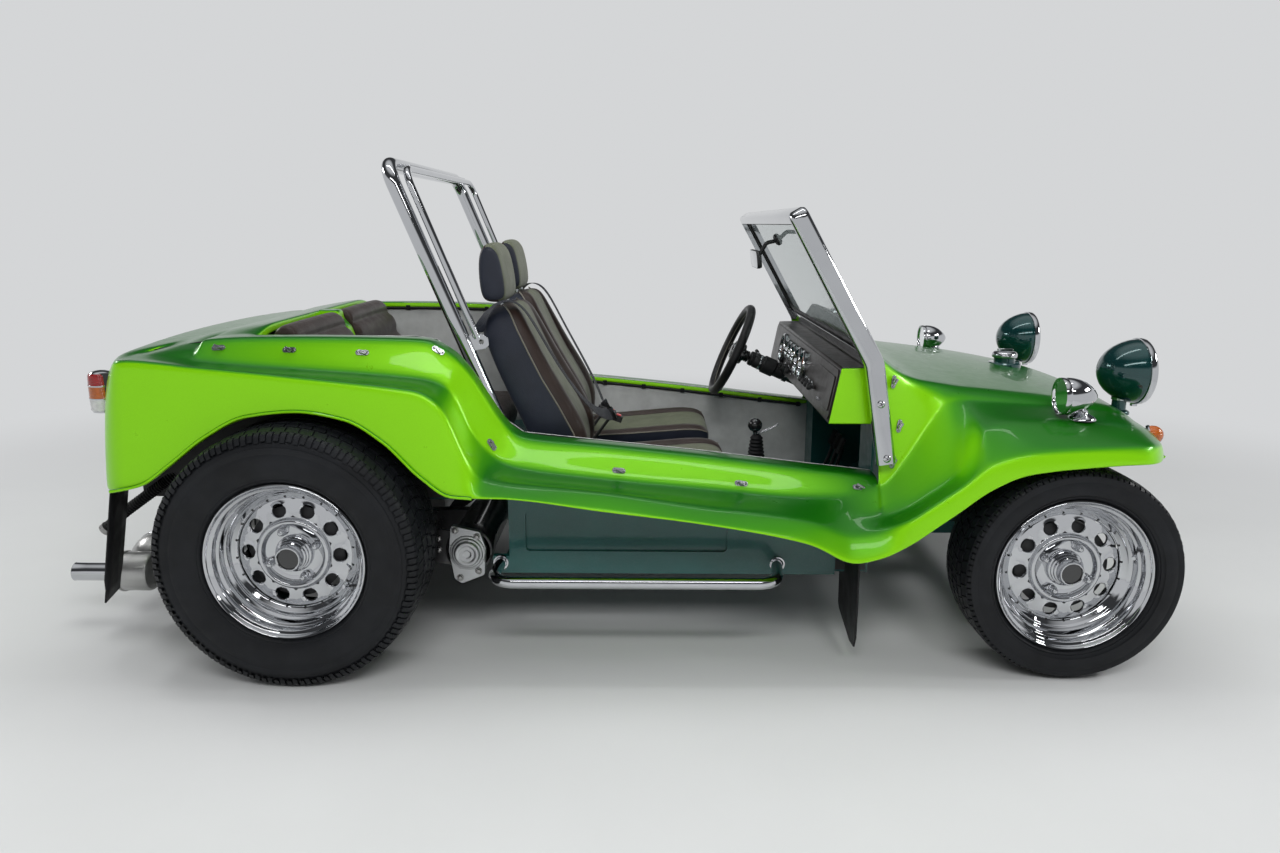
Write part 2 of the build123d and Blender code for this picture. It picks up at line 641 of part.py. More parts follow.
def make_engine_case():
    """Crankcase with its sump, the four finned cylinders and the two heads."""
    outline = [(-95, 215), (95, 215), (120, 260), (120, 402), (-120, 402), (-120, 260)]
    case = cross_plate(outline, -520, ENGINE_FRONT_X, [14, 14, 20, 24, 24, 20])
    for x in (-260, -390):
        barrel = rod((x, 120, CRANK_Z), (x, 250, CRANK_Z), 50)
        case += both_sides(barrel)
        for n in range(8):
            fin = rod((x, 130 + 15 * n, CRANK_Z), (x, 135 + 15 * n, CRANK_Z), 62)
            case += both_sides(fin)
    head = block(-455, -195, 250, 340, 275, 402)
    rocker = block(-440, -210, 340, 380, 285, 385)
    return case + both_sides(head) + both_sides(rocker)


def make_fan_shroud():
    """The sheet-metal cooling shroud across the engine, with its round fan housing."""
    outline = [(-300, 402), (300, 402), (312, 480), (212, 735), (-212, 735), (-312, 480)]
    shroud = cross_plate(outline, -330, -230, [0, 0, 40, 110, 110, 40])
    ring = rod((-330, 0, FAN_Z), (-352, 0, FAN_Z), 118)
    return shroud + ring


def make_pulley(x, z, radius, width):
    """A belt pulley with its groove, from its rear face forward."""
    outline = [(x, 0), (x, radius), (x + 4, radius), (x + width / 2, radius - 14)]
    outline += [(x + width - 4, radius), (x + width, radius), (x + width, 0)]
    return Pos(0, 0, z) * turned_x(outline)


def make_pulleys():
    """Generator with its stand and pulley over the crank pulley, the air cleaner on its
    neck, and the cross manifold that stands on the two heads."""
    generator = rod((-352, 0, FAN_Z), (-520, 0, FAN_Z), 48)
    stand = block(-470, -400, -34, 34, 402, FAN_Z - 44)
    top_pulley = make_pulley(-545, FAN_Z, 62, 25)
    crank = rod((-520, 0, CRANK_Z), (-575, 0, CRANK_Z), 24)
    crank_pulley = make_pulley(-548, CRANK_Z, 85, 18)
    cleaner = rod((CARB_X, 0, 690), (CARB_X, 0, 736), 92)
    cleaner += rod((CARB_X, 0, 736), (CARB_X, 0, 752), 78)
    neck = rod((CARB_X, 0, FAN_Z + 40), (CARB_X, 0, 692), 30)
    route = [(-436, -290, 402), (-436, -290, 462), (-436, 290, 462), (-436, 290, 402)]
    manifold = bent_tube(route, 15, 45)
    return generator + stand + top_pulley + crank + crank_pulley + cleaner + neck + manifold


def make_exhaust():
    """Cross silencer with the two straight tailpipes."""
    body = rod((MUFFLER_X, -MUFFLER_Y, MUFFLER_Z), (MUFFLER_X, MUFFLER_Y, MUFFLER_Z), MUFFLER_R)
    for side in (1, -1):
        y = side * TAILPIPE_Y
        body += rod((MUFFLER_X, y, TAILPIPE_Z), (TAIL_X, y, TAILPIPE_Z), TAILPIPE_R)
        body -= rod((TAIL_X + 110, y, TAILPIPE_Z), (TAIL_X, y, TAILPIPE_Z), TAILPIPE_BORE_R)
    return body


def make_head_pipes():
    """The two left pipes from the cylinder head to the silencer."""
    can = rod((MUFFLER_X, -MUFFLER_Y, MUFFLER_Z), (MUFFLER_X, MUFFLER_Y, MUFFLER_Z), MUFFLER_R)
    pipes = []
    for x, y, low_z, end_y in ((-250, 270, 165, 330), (-400, 320, 200, 390)):
        route = [(x, y, 275), (x, y, low_z), (MUFFLER_X + 30, end_y, MUFFLER_Z)]
        pipes.append(bent_tube(route, 19, 28) - can)
    return pipes


def make_front_beam():
    """Two cross tubes with end plates, the four trailing arms and the link pins."""
    beam = rod((BEAM_X, -BEAM_Y, AXLE_Z + BEAM_RISE), (BEAM_X, BEAM_Y, AXLE_Z + BEAM_RISE), BEAM_R)
    beam += rod((BEAM_X, -BEAM_Y, AXLE_Z - BEAM_RISE), (BEAM_X, BEAM_Y, AXLE_Z - BEAM_RISE), BEAM_R)
    tower_line = [(BEAM_X - 40, AXLE_Z - 110), (BEAM_X + 44, AXLE_Z - 110), (BEAM_X + 50, AXLE_Z + 210)]
    tower_line += [(BEAM_X + 10, AXLE_Z + 210), (BEAM_X - 40, AXLE_Z + 110)]
    beam += both_sides(side_plate(tower_line, BEAM_Y - 60, BEAM_Y - 50, [12, 20, 8, 8, 40]))
    beam += block(BEAM_X - 20, BEAM_X + 20, -60, 60, AXLE_Z - BEAM_RISE, AXLE_Z + BEAM_RISE)
    for rise in (-BEAM_RISE, BEAM_RISE):
        z_beam, z_pin = AXLE_Z + rise, AXLE_Z + rise * 0.8
        outline = [(BEAM_X + 30, z_beam - 22), (BEAM_X + 30, z_beam + 22), (BEAM_X, z_beam + 30)]
        outline += [(WHEELBASE - 14, z_pin + 16), (WHEELBASE - 14, z_pin - 16), (BEAM_X, z_beam - 30)]
        arm = side_plate(outline, BEAM_Y, ARM_OUT_Y)
        pin = rod((WHEELBASE, ARM_OUT_Y, z_pin), (WHEELBASE, KINGPIN_Y - 40, z_pin), 12)
        beam += both_sides(arm + pin)
    rear, front, inner_y = WHEELBASE - 12, WHEELBASE + 12, KINGPIN_Y - 40
    carrier = block(rear, front, inner_y, inner_y + 14, AXLE_Z - 74, AXLE_Z + 74)
    for low, high in ((44, 72), (-72, -44)):
        carrier += rod((WHEELBASE, KINGPIN_Y, AXLE_Z + low), (WHEELBASE, KINGPIN_Y, AXLE_Z + high), 21)
        carrier += block(rear, front, inner_y, KINGPIN_Y, AXLE_Z + low, AXLE_Z + high)
    return beam + both_sides(carrier)


def make_knuckle():
    """Left stub axle that turns on the kingpin, with its backing plate and steering arm."""
    barrel = rod((WHEELBASE, KINGPIN_Y, AXLE_Z - 38), (WHEELBASE, KINGPIN_Y, AXLE_Z + 38), 17)
    inner_face = front_hub_face() - FRONT_DRUM_DEPTH
    neck = rod((WHEELBASE, KINGPIN_Y, AXLE_Z), (WHEELBASE, inner_face - 14, AXLE_Z), 24)
    plate = rod((WHEELBASE, inner_face - 14, AXLE_Z), (WHEELBASE, inner_face - 8, AXLE_Z), DRUM_R - 2)
    stub_end = front_hub_face() - 12 - GAP
    stub = rod((WHEELBASE, inner_face - 14, AXLE_Z), (WHEELBASE, stub_end, AXLE_Z), SPINDLE_R)
    eye_x, eye_y = WHEELBASE - STEER_ARM_BACK, KINGPIN_Y - STEER_ARM_IN
    arm_z = AXLE_Z + STEER_ARM_RISE
    arm = [(WHEELBASE + 8, KINGPIN_Y + 2), (WHEELBASE + 4, KINGPIN_Y + 22)]
    arm += [(WHEELBASE - 66, KINGPIN_Y + 12), (eye_x - 12, eye_y + 2), (eye_x, eye_y - 13)]
    arm += [(eye_x + 13, eye_y), (WHEELBASE - 56, KINGPIN_Y - 8)]
    return barrel + neck + plate + stub + plan_plate(arm, arm_z, arm_z + 16, 5)


def make_track_rod():
    """The cross rod that links the two steering arms, with an eye under each arm."""
    x, y = WHEELBASE - STEER_ARM_BACK, KINGPIN_Y - STEER_ARM_IN
    z = ROD_TOP_Z - 14
    bar = rod((x, -y, z), (x, y, z), ROD_R)
    eyes = [rod((x, side * y, ROD_TOP_Z - 28), (x, side * y, ROD_TOP_Z), ROD_EYE_R) for side in (1, -1)]
    return bar + eyes


def along_column(distance):
    """A point on the steering column's axis, that far ahead of the wheel's hub."""
    x, y, z = WHEEL_HUB
    tilt = radians(COLUMN_TILT)
    return (x + distance * cos(tilt), y, z - distance * sin(tilt))


def column_frame():
    """A plane at the wheel's hub whose z axis points at the driver."""
    tilt = radians(COLUMN_TILT)
    return Plane(origin=WHEEL_HUB, x_dir=(sin(tilt), 0, cos(tilt)), z_dir=(-cos(tilt), 0, sin(tilt)))


def make_column():
    """The fixed column tube, its bracket under the dash and the steering box on the beam."""
    jacket = rod(along_column(70), along_column(330), 24)
    shaft = rod(along_column(330), along_column(930), 11)
    y = WHEEL_HUB[1]
    box = block(BEAM_X - 118, BEAM_X - 16, y - 40, y + 40, AXLE_Z + 16, AXLE_Z + 104)
    return jacket + shaft + box


def make_steering_wheel():
    """Thick-rimmed three-spoke wheel on a deep hub."""
    rim = Torus(STEERING_WHEEL_R - STEERING_RIM_R, STEERING_RIM_R)
    hub = Pos(0, 0, -26) * Cylinder(38, 40) + Pos(0, 0, -55) * Cylinder(22, 22)
    wheel = rim + hub
    for turn in (90, 180, 270):
        spoke = Rot(0, 0, turn) * Pos(92, 0, -12) * Rot(0, -7, 0) * Box(136, 30, 4)
        wheel += spoke
    return column_frame() * wheel


def screen_line(share):
    """A point on the upper screen bar's middle line, from knee (0) to top (1)."""
    x = SCREEN_KNEE[0] + (SCREEN_TOP[0] - SCREEN_KNEE[0]) * share
    z = SCREEN_KNEE[1] + (SCREEN_TOP[1] - SCREEN_KNEE[1]) * share
    return x, z


def bar_outline(points, width):
    """The outline of a bent flat bar along (x, z) points."""
    half = width / 2
    ahead, behind = [], []
    for index, (x, z) in enumerate(points):
        first = points[max(index - 1, 0)]
        last = points[min(index + 1, len(points) - 1)]
        length = hypot(last[0] - first[0], last[1] - first[1])
        nx, nz = (last[1] - first[1]) / length, -(last[0] - first[0]) / length
        ahead.append((x + nx * half, z + nz * half))
        behind.append((x - nx * half, z - nz * half))
    return ahead + behind[::-1]


def make_screen_frame():
    """Polished frame: two bent side bars outside the cowl, a top bar and a lower bar."""
    outline = bar_outline([SCREEN_FOOT, SCREEN_KNEE, SCREEN_TOP], SCREEN_BAR)
    post = side_plate(outline, SCREEN_Y, SCREEN_Y + SCREEN_DEPTH, [4, 40, 12, 30, 60, 4])
    low_x, high_x = COWL_X + 14, COWL_X - 23
    pads = rod((low_x, 600, 566), (low_x, SCREEN_Y, 566), 14)
    pads += rod((high_x, 606, 790), (high_x, SCREEN_Y, 790), 14)
    frame = post + pads + right_of(post + pads)
    for share, width in ((0.03, 36), (0.96, 34)):
        x, z = screen_line(share)
        dx, dz = SCREEN_TOP[0] - SCREEN_KNEE[0], SCREEN_TOP[1] - SCREEN_KNEE[1]
        length = hypot(dx, dz)
        ux, uz = dx / length * width / 2, dz / length * width / 2
        nx, nz = dz / length * 11, -dx / length * 11
        bar = [(x - ux - nx, z - uz - nz), (x - ux + nx, z - uz + nz)]
        bar += [(x + ux + nx, z + uz + nz), (x + ux - nx, z + uz - nz)]
        frame += side_plate(bar, -SCREEN_Y, SCREEN_Y)
    return frame


def make_screen_glass():
    """The flat pane inside the screen frame."""
    low, high = screen_line(0.03), screen_line(0.96)
    pane = bar_outline([low, high], GLASS_T)
    return side_plate(pane, -SCREEN_Y, SCREEN_Y)


def make_roll_bar():
    """Main hoop leaning back, the thinner front stays, the head plate and the feet."""
    top_x, top_z = ROLL_TOP
    foot_x, foot_z = ROLL_FOOT
    route = [(foot_x + 6, -ROLL_Y, SHELF_Z + 8), (foot_x + 6, -ROLL_Y, foot_z), (top_x, -ROLL_Y, top_z)]
    route += [(top_x, ROLL_Y, top_z), (foot_x + 6, ROLL_Y, foot_z), (foot_x + 6, ROLL_Y, SHELF_Z + 8)]
    hoop = bent_tube(route, ROLL_R, 60)
    plates = both_sides(block(foot_x - 44, foot_x + 14, ROLL_Y - 30, ROLL_Y + 30, SHELF_Z, SHELF_Z + 8))
    front = [(480, -ROLL_Y, 826), (top_x + 66, -ROLL_Y, top_z - 14)]
    front += [(top_x + 66, ROLL_Y, top_z - 14), (480, ROLL_Y, 826)]
    stays = bent_tube(front, STAY_R, 50)
    head = block(top_x - 2, top_x + 60, -ROLL_Y + 80, ROLL_Y - 80, top_z - 6, top_z + 2)
    lug_line = [(404, 860), (470, 868), (506, 812), (496, 792), (430, 800)]
    lug = side_plate(lug_line, ROLL_Y - 4, ROLL_Y + 4, [6, 14, 8, 6, 6])
    lug -= rod((487, ROLL_Y - 10, 806), (487, ROLL_Y + 10, 806), 5.5)
    return hoop + plates + stays + head + both_sides(lug)


def make_side_step():
    """Left bent step tube beside the floor."""
    y_out = 720.0
    front_x = COWL_X - 273
    in_y = PAN_Y - 12
    route = [(506, in_y, 250), (500, y_out, 250), (front_x, y_out, 250), (front_x + 20, in_y, 250)]
    outside = block(400, 1400, PAN_Y, y_out + 40, 200, 300)
    return bent_tube(route, 16, 60) & outside


def make_mud_flaps():
    """Hanging rubber flaps, behind the front wheels and behind the rear ones."""
    outline = [(465, PAN_Z), (RAIL_IN_Y, PAN_Z), (RAIL_IN_Y, 345), (705, 370), (705, 66), (480, 96)]
    front = cross_plate(outline, COWL_X - 83, COWL_X - 78, [0, 0, 0, 0, 30, 20])
    rear_line = [(590, 560), (735, 560), (725, 200), (640, 170), (590, 240)]
    rear = cross_plate(rear_line, REAR_X, -400, [0, 0, 30, 30, 20])
    rear = (rear & rear_limit(WALL)) - rear_limit(2 * WALL)
    return both_sides(front) + both_sides(rear)


def make_lamp():
    """Left headlamp bowl on its stalk."""
    bowl = [(LAMP_TIP_X, 0), (LAMP_TIP_X + 8, 30), (LAMP_TIP_X + 40, 64), (LAMP_TIP_X + 90, 86)]
    bowl += [(LAMP_RIM_X, LAMP_R - 3), (LAMP_RIM_X, LAMP_R - 7), (LAMP_TIP_X + 92, 82)]
    bowl += [(LAMP_TIP_X + 44, 60), (LAMP_TIP_X + 14, 28), (LAMP_TIP_X + 6, 0)]
    outside = [0, 50, 90, 110]
    shell = Pos(0, LAMP_Y, LAMP_Z) * turned_x(bowl, outside + [0, 0, 90, 70, 40, 0])
    stalk_x = LAMP_TIP_X + 73
    stalk = rod((stalk_x, LAMP_Y, LAMP_FOOT_Z), (stalk_x, LAMP_Y, LAMP_Z - 74), 20)
    foot = rod((stalk_x, LAMP_Y, LAMP_FOOT_Z - 2), (stalk_x, LAMP_Y, LAMP_FOOT_Z + 12), 29)
    stalk -= Pos(0, LAMP_Y, LAMP_Z) * turned_x(bowl[:5] + [(LAMP_RIM_X, 0)], outside + [0, 0])
    return shell + stalk + foot


def make_lamp_glass():
    """Left headlamp rim with its domed lens."""
    ring = [(LAMP_RIM_X, 0), (LAMP_RIM_X, LAMP_R), (LAMP_RIM_X + 24, LAMP_R), (LAMP_RIM_X + 30, LAMP_R - 8)]
    ring += [(LAMP_RIM_X + 37, 60), (NOSE_X, 0)]
    return Pos(0, LAMP_Y, LAMP_Z) * turned_x(ring, [0, 0, 3, 6, 0, 0])


def make_mirror():
    """Left bullet mirror on its foot."""
    outline = [(MIRROR_X, 0), (MIRROR_X, MIRROR_R), (MIRROR_X + 42, MIRROR_R - 1)]
    outline += [(MIRROR_X + 77, MIRROR_R - 14), (MIRROR_X + 104, 20), (MIRROR_X + 113, 0)]
    bullet = Pos(0, MIRROR_Y, MIRROR_Z) * turned_x(outline, [0, 5, 40, 60, 14, 0])
    foot_x = MIRROR_X + 77
    foot_top = MIRROR_FOOT_Z + 10
    foot = rod((foot_x, MIRROR_Y, MIRROR_FOOT_Z), (foot_x, MIRROR_Y, foot_top), 32)
    neck = rod((foot_x, MIRROR_Y, foot_top), (foot_x - 10, MIRROR_Y, MIRROR_Z - 30), 14)
    return bullet + foot + neck


def make_turn_signal():
    """Left front turn signal lens on the nose."""
    return Pos(SIGNAL_X, SIGNAL_Y, SIGNAL_Z) * Sphere(SIGNAL_R)


def make_tail_lamp():
    """Left upright tail lamp on the tail face."""
    stack = [(-440, 0), (-440, 52), (-525, 50), (-544, 38), (-550, 0)]
    lamp = Pos(0, 640, 742) * turned_x(stack, [0, 0, 6, 14, 0])
    return lamp - rear_limit()


def make_filler():
    """Fuel filler neck and cap on the hood."""
    neck = rod((FILLER_X, 0, 715), (FILLER_X, 0, 764), 33)
    cap = rod((FILLER_X, 0, 764), (FILLER_X, 0, 780), 38)
    return (neck + cap) - hood_layer(0, 60)


def make_dashboard():
    """Dash box across the cowl, its face leaning at the driver."""
    outline = [(COWL_X - 108, 812), (COWL_X - 137, 659), (COWL_X, 659), (COWL_X, 828), (COWL_X - 28, 814)]
    ahead = block(COWL_X, COWL_X + 25, -576, 576, 659, 880) - hood_layer(400, WALL)
    return side_plate(outline, -606, 606, [12, 8, 0, 0, 0]) + ahead


def make_seat_cushion():
    """Left front seat cushion."""
    rear, front = CUSHION_REAR_X, CUSHION_FRONT_X
    outline = [(rear, CUSHION_LOW_Z), (rear, 545), (rear + 100, 560), (front - 86, 612), (front - 16, 598)]
    outline += [(front, 560), (front - 8, 470), (front - 36, CUSHION_LOW_Z)]
    return side_plate(outline, SEAT_IN_Y, SEAT_OUT_Y, [8, 20, 60, 60, 20, 40, 20, 8])


def make_seat_back():
    """Left front seat back, leaning."""
    face_x = CUSHION_REAR_X - 3
    outline = [(640, CUSHION_LOW_Z), (face_x, CUSHION_LOW_Z), (face_x, 560), (752, 612), (660, 765)]
    outline += [(585, 905), (560, 950), (470, 952), (440, 925), (470, 830), (560, 680), (630, 540)]
    return side_plate(outline, SEAT_IN_Y, SEAT_OUT_Y, 16)


def make_headrest():
    """Left headrest above the seat back."""
    outline = [(430, 962), (424, 1080), (440, 1118), (490, 1128), (545, 1098), (562, 980), (548, 958)]
    rest = side_plate(outline, SEAT_MIDDLE_Y - 115, SEAT_MIDDLE_Y + 115, 12)
    for y in (SEAT_MIDDLE_Y - 60, SEAT_MIDDLE_Y + 60):
        rest += rod((505, y, 945), (505, y, 975), 6)
    return rest - make_seat_back()


def make_seat_base():
    """Left seat pan and runners between the floor and the cushion."""
    low_z = CUSHION_LOW_Z - 40
    plate = block(640, CUSHION_FRONT_X - 16, SEAT_IN_Y + 20, SEAT_OUT_Y - 10, low_z, CUSHION_LOW_Z)
    for y in (SEAT_IN_Y + 40, SEAT_OUT_Y - 60):
        plate += block(660, CUSHION_FRONT_X - 46, y, y + 20, PAN_Z + PAN_T, low_z)
    return plate


def make_rear_bench():
    """Rear seat cushion and its two backs."""
    cushion_line = [(40, SHELF_Z), (40, 540), (400, 570), (430, 540), (430, SHELF_Z)]
    cushion = side_plate(cushion_line, -430, 430, [0, 10, 24, 24, 0])
    back_line = [(-60, SHELF_Z), (-164, 860), (-150, 905), (-110, 920), (-60, 908), (-15, 850), (38, 560)]
    back_line += [(38, SHELF_Z)]
    backs = both_sides(side_plate(back_line, DIVIDER_Y + 2, 470, [0, 16, 16, 30, 30, 40, 40, 0]))
    return [cushion] + backs


def make_gear_lever():
    """Gear lever with its boot and ball, and the hand brake on the tunnel."""
    top = PAN_Z + TUNNEL_H
    boot = Pos(LEVER_X, 0, top + 25) * Cone(34, 16, 50)
    stick = rod((LEVER_X, 0, top + 40), (LEVER_X - 8, 0, 520), 9)
    ball = Pos(LEVER_X - 8, 0, 527) * Sphere(24)
    brake_x = LEVER_X - 202
    brake = rod((brake_x, 0, top + 15), (brake_x - 150, 0, top + 70), 12)
    foot = block(brake_x - 20, brake_x + 40, -16, 16, top, top + 26)
    return [boot + stick + ball, brake + foot]


def make_pedals():
    """Three pedals on their cross shaft in the driver's footwell."""
    x, end_y = COWL_X + 25, FOOT_Y - WALL
    pads = rod((x, end_y - 214, 250), (x, end_y, 250), 10)
    for back in (29, 104, 179):
        y = end_y - back
        pads += rod((x, y, 250), (x + 60, y, 400), 7)
        pads += Pos(x + 58, y, 405) * Rot(0, -22, 0) * Box(12, 46, 62)
    pads += block(x - 15, x + 15, end_y - 214, end_y - 194, PAN_Z + 23, 250)
    return pads


def make_interior_mirror():
    """Inside mirror on a short arm from the screen's top bar."""
    x, z = screen_line(0.93)
    arm = rod((x - 14, 0, z), (x - 60, 0, z - 60), 6)
    glass = Pos(x - 66, 0, z - 78) * Rot(0, 12, 0) * Box(16, 190, 52)
    return arm + glass


def make_fuel_tank():
    """Flat tank under the hood, seen from below."""
    half = FOOT_Y - WALL
    tank = block(WHEELBASE - 130, WHEELBASE + 95, -half, half, 460, 620)
    neck = rod((FILLER_X, 0, 600), (FILLER_X, 0, 730), 30) - hood_layer(400, WALL)
    return tank + neck


os.makedirs("parts", exist_ok=True)

torsion = make_torsion_housing()
hood = make_hood()
rear_wing = make_rear_wing()
side = make_side()
front_wing = make_front_wing() - hood_layer(WALL, 3 * WALL)
under_hood = hood_layer(0, 60)
under_wing = make_front_wing(40)
for name, solid in (("body_side", rear_wing + side), ("front_wing", front_wing)):
    save(name + "_left", solid)
    save(name + "_right", right_of(solid))
save("hood", hood)
rear_deck = make_rear_deck()
save("rear_deck", rear_deck)
beam = make_front_beam()
column = make_column() - beam
dashboard = make_dashboard() - column
liner = make_liners() - dashboard
save("cockpit_liners", *both_sides(liner))
save("rear_floor", make_shelf() - rear_deck)
bulkhead = make_bulkhead() - rod(along_column(500), along_column(700), 13)
save("front_bulkhead", bulkhead)
save("floor_pan", make_floor_pan() - torsion - beam)
save("heater_channels", *both_sides(make_channel()))
save("dashboard", dashboard)

glass = make_screen_glass()
frame = make_screen_frame() + make_interior_mirror() - glass - under_wing - right_of(under_wing)
save("windscreen_frame", frame)
save("windscreen_glass", glass)
save("roll_bar", make_roll_bar())
save("side_steps", *both_sides(make_side_step()))
save("mud_flaps", *make_mud_flaps())
save("headlamps", *both_sides(make_lamp() - under_hood))
save("headlamp_lenses", *both_sides(make_lamp_glass()))
save("turn_signals", *both_sides(make_turn_signal() - under_wing))
save("door_mirrors", *both_sides(make_mirror() - under_wing))
save("tail_lamps", *both_sides(make_tail_lamp()))
save("fuel_filler", make_filler())
save("fuel_tank", make_fuel_tank())

save("seat_cushions", *both_sides(make_seat_cushion()))
save("seat_backs", *both_sides(make_seat_back()))
save("headrests", *both_sides(make_headrest()))
save("seat_bases", *both_sides(make_seat_base()))
save("rear_bench", *make_rear_bench())
save("gear_lever", *make_gear_lever())
save("pedals", make_pedals() - bulkhead)
save("steering_column", column)
save("steering_wheel", make_steering_wheel())

save("torsion_housing", torsion)
save("spring_plates", *both_sides(make_spring_plate()))
save("transaxle", make_transaxle())
save("engine_case", make_engine_case())
save("fan_shroud", make_fan_shroud())
save("generator", make_pulleys())
save("exhaust", make_exhaust())
save("head_pipes", *[solid for pipe in make_head_pipes() for solid in both_sides(pipe)])

save("front_beam", beam)
knuckle = make_knuckle()
save("knuckle_left", knuckle)
save("knuckle_right", right_of(knuckle))
save("track_rod", make_track_rod())

# End of the car, x, track y, tyre radius, tyre width, dish, drum depth
AXLES = [
    ("rear", 0.0, REAR_TRACK_Y, REAR_TYRE_R, REAR_TYRE_W, REAR_DISH, REAR_DRUM_DEPTH),
    ("front", WHEELBASE, FRONT_TRACK_Y, FRONT_TYRE_R, FRONT_TYRE_W, FRONT_DISH, FRONT_DRUM_DEPTH),
]
for end, x, track_y, radius, width, dish, depth in AXLES:
    pieces = [
        ("tyre", make_tyre(radius, width)),
        ("rim", make_rim(width, dish)),
        ("drum", make_drum(width, dish, depth)),
    ]
    for piece, solid in pieces:
        left = at_wheel(solid, x, track_y, radius)
        save(f"{piece}_{end}_left", left)
        save(f"{piece}_{end}_right", right_of(left))
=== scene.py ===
"""Dresses the buggy's fixed frame: the moulded body, wheels, seats, lamps and trim, in one shared frame."""

import math

import bpy
from mathutils import Matrix, Vector

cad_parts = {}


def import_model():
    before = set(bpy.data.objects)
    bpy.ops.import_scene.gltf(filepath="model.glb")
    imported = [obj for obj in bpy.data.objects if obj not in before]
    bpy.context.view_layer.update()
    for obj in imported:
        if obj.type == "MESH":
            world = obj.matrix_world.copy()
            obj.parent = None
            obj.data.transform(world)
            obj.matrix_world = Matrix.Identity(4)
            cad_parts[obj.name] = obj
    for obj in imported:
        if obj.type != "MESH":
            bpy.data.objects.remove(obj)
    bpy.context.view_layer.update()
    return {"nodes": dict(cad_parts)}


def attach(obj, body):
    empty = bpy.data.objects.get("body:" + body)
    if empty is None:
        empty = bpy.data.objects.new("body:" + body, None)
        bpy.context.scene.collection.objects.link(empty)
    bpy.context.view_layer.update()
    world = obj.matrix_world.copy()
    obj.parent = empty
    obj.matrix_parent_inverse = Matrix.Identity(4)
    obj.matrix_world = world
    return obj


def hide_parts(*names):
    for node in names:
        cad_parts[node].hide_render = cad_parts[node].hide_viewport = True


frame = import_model()

ORIGIN_X = 791.0  # the row's origin, in mm ahead of the rear axle
WHEELBASE = 2030.0
AHEAD, BACK, OUT, UP, DOWN = (1, 0, 0), (-1, 0, 0), (0, 1, 0), (0, 0, 1), (0, 0, -1)
pi = math.pi


def at(x, y, z):
    """A point in mm from the rear axle, as metres in the row frame."""
    return Vector(((x - ORIGIN_X) / 1000, y / 1000, z / 1000))


def smooth_step(low, high, value):
    """Rises from 0 at low to 1 at high."""
    t = min(max((value - low) / (high - low), 0), 1)
    return t * t * (3 - 2 * t)


def curve_through(xs, ys):
    """A smooth curve through the points that never overshoots them."""
    n = len(xs)
    slopes = [(ys[i + 1] - ys[i]) / (xs[i + 1] - xs[i]) for i in range(n - 1)]
    turns = [slopes[0]]
    for i in range(1, n - 1):
        a, b = slopes[i - 1], slopes[i]
        turns.append(0.0 if a * b <= 0 else 2 * a * b / (a + b))
    turns.append(slopes[-1])

    def value(x):
        i = min(max(sum(1 for v in xs[1:-1] if v <= x), 0), n - 2)
        h = xs[i + 1] - xs[i]
        t = min(max((x - xs[i]) / h, 0), 1)
        a, b = 2 * t**3 - 3 * t**2 + 1, t**3 - 2 * t**2 + t
        c, d = -2 * t**3 + 3 * t**2, t**3 - t**2
        return a * ys[i] + b * h * turns[i] + c * ys[i + 1] + d * h * turns[i + 1]

    return value


def rounded_path(points, bend, steps=6):
    """Straight runs joined by arcs. bend is one radius or one for each corner."""
    points = [Vector(p) for p in points]
    path = [points[0]]
    for i in range(1, len(points) - 1):
        radius = bend[i - 1] if isinstance(bend, (list, tuple)) else bend
        before, here, after = points[i - 1 : i + 2]
        a, b = (before - here).normalized(), (after - here).normalized()
        half = a.angle(b) / 2
        reach = min(radius / math.tan(half), 0.49 * (before - here).length, 0.49 * (after - here).length)
        start, end = here + a * reach, here + b * reach
        centre = here + (a + b).normalized() * (reach / math.cos(half))
        first, last = (start - centre).normalized(), (end - centre).normalized()
        for k in range(steps + 1):
            path.append(centre + first.slerp(last, k / steps) * (start - centre).length)
    path.append(points[-1])
    return path


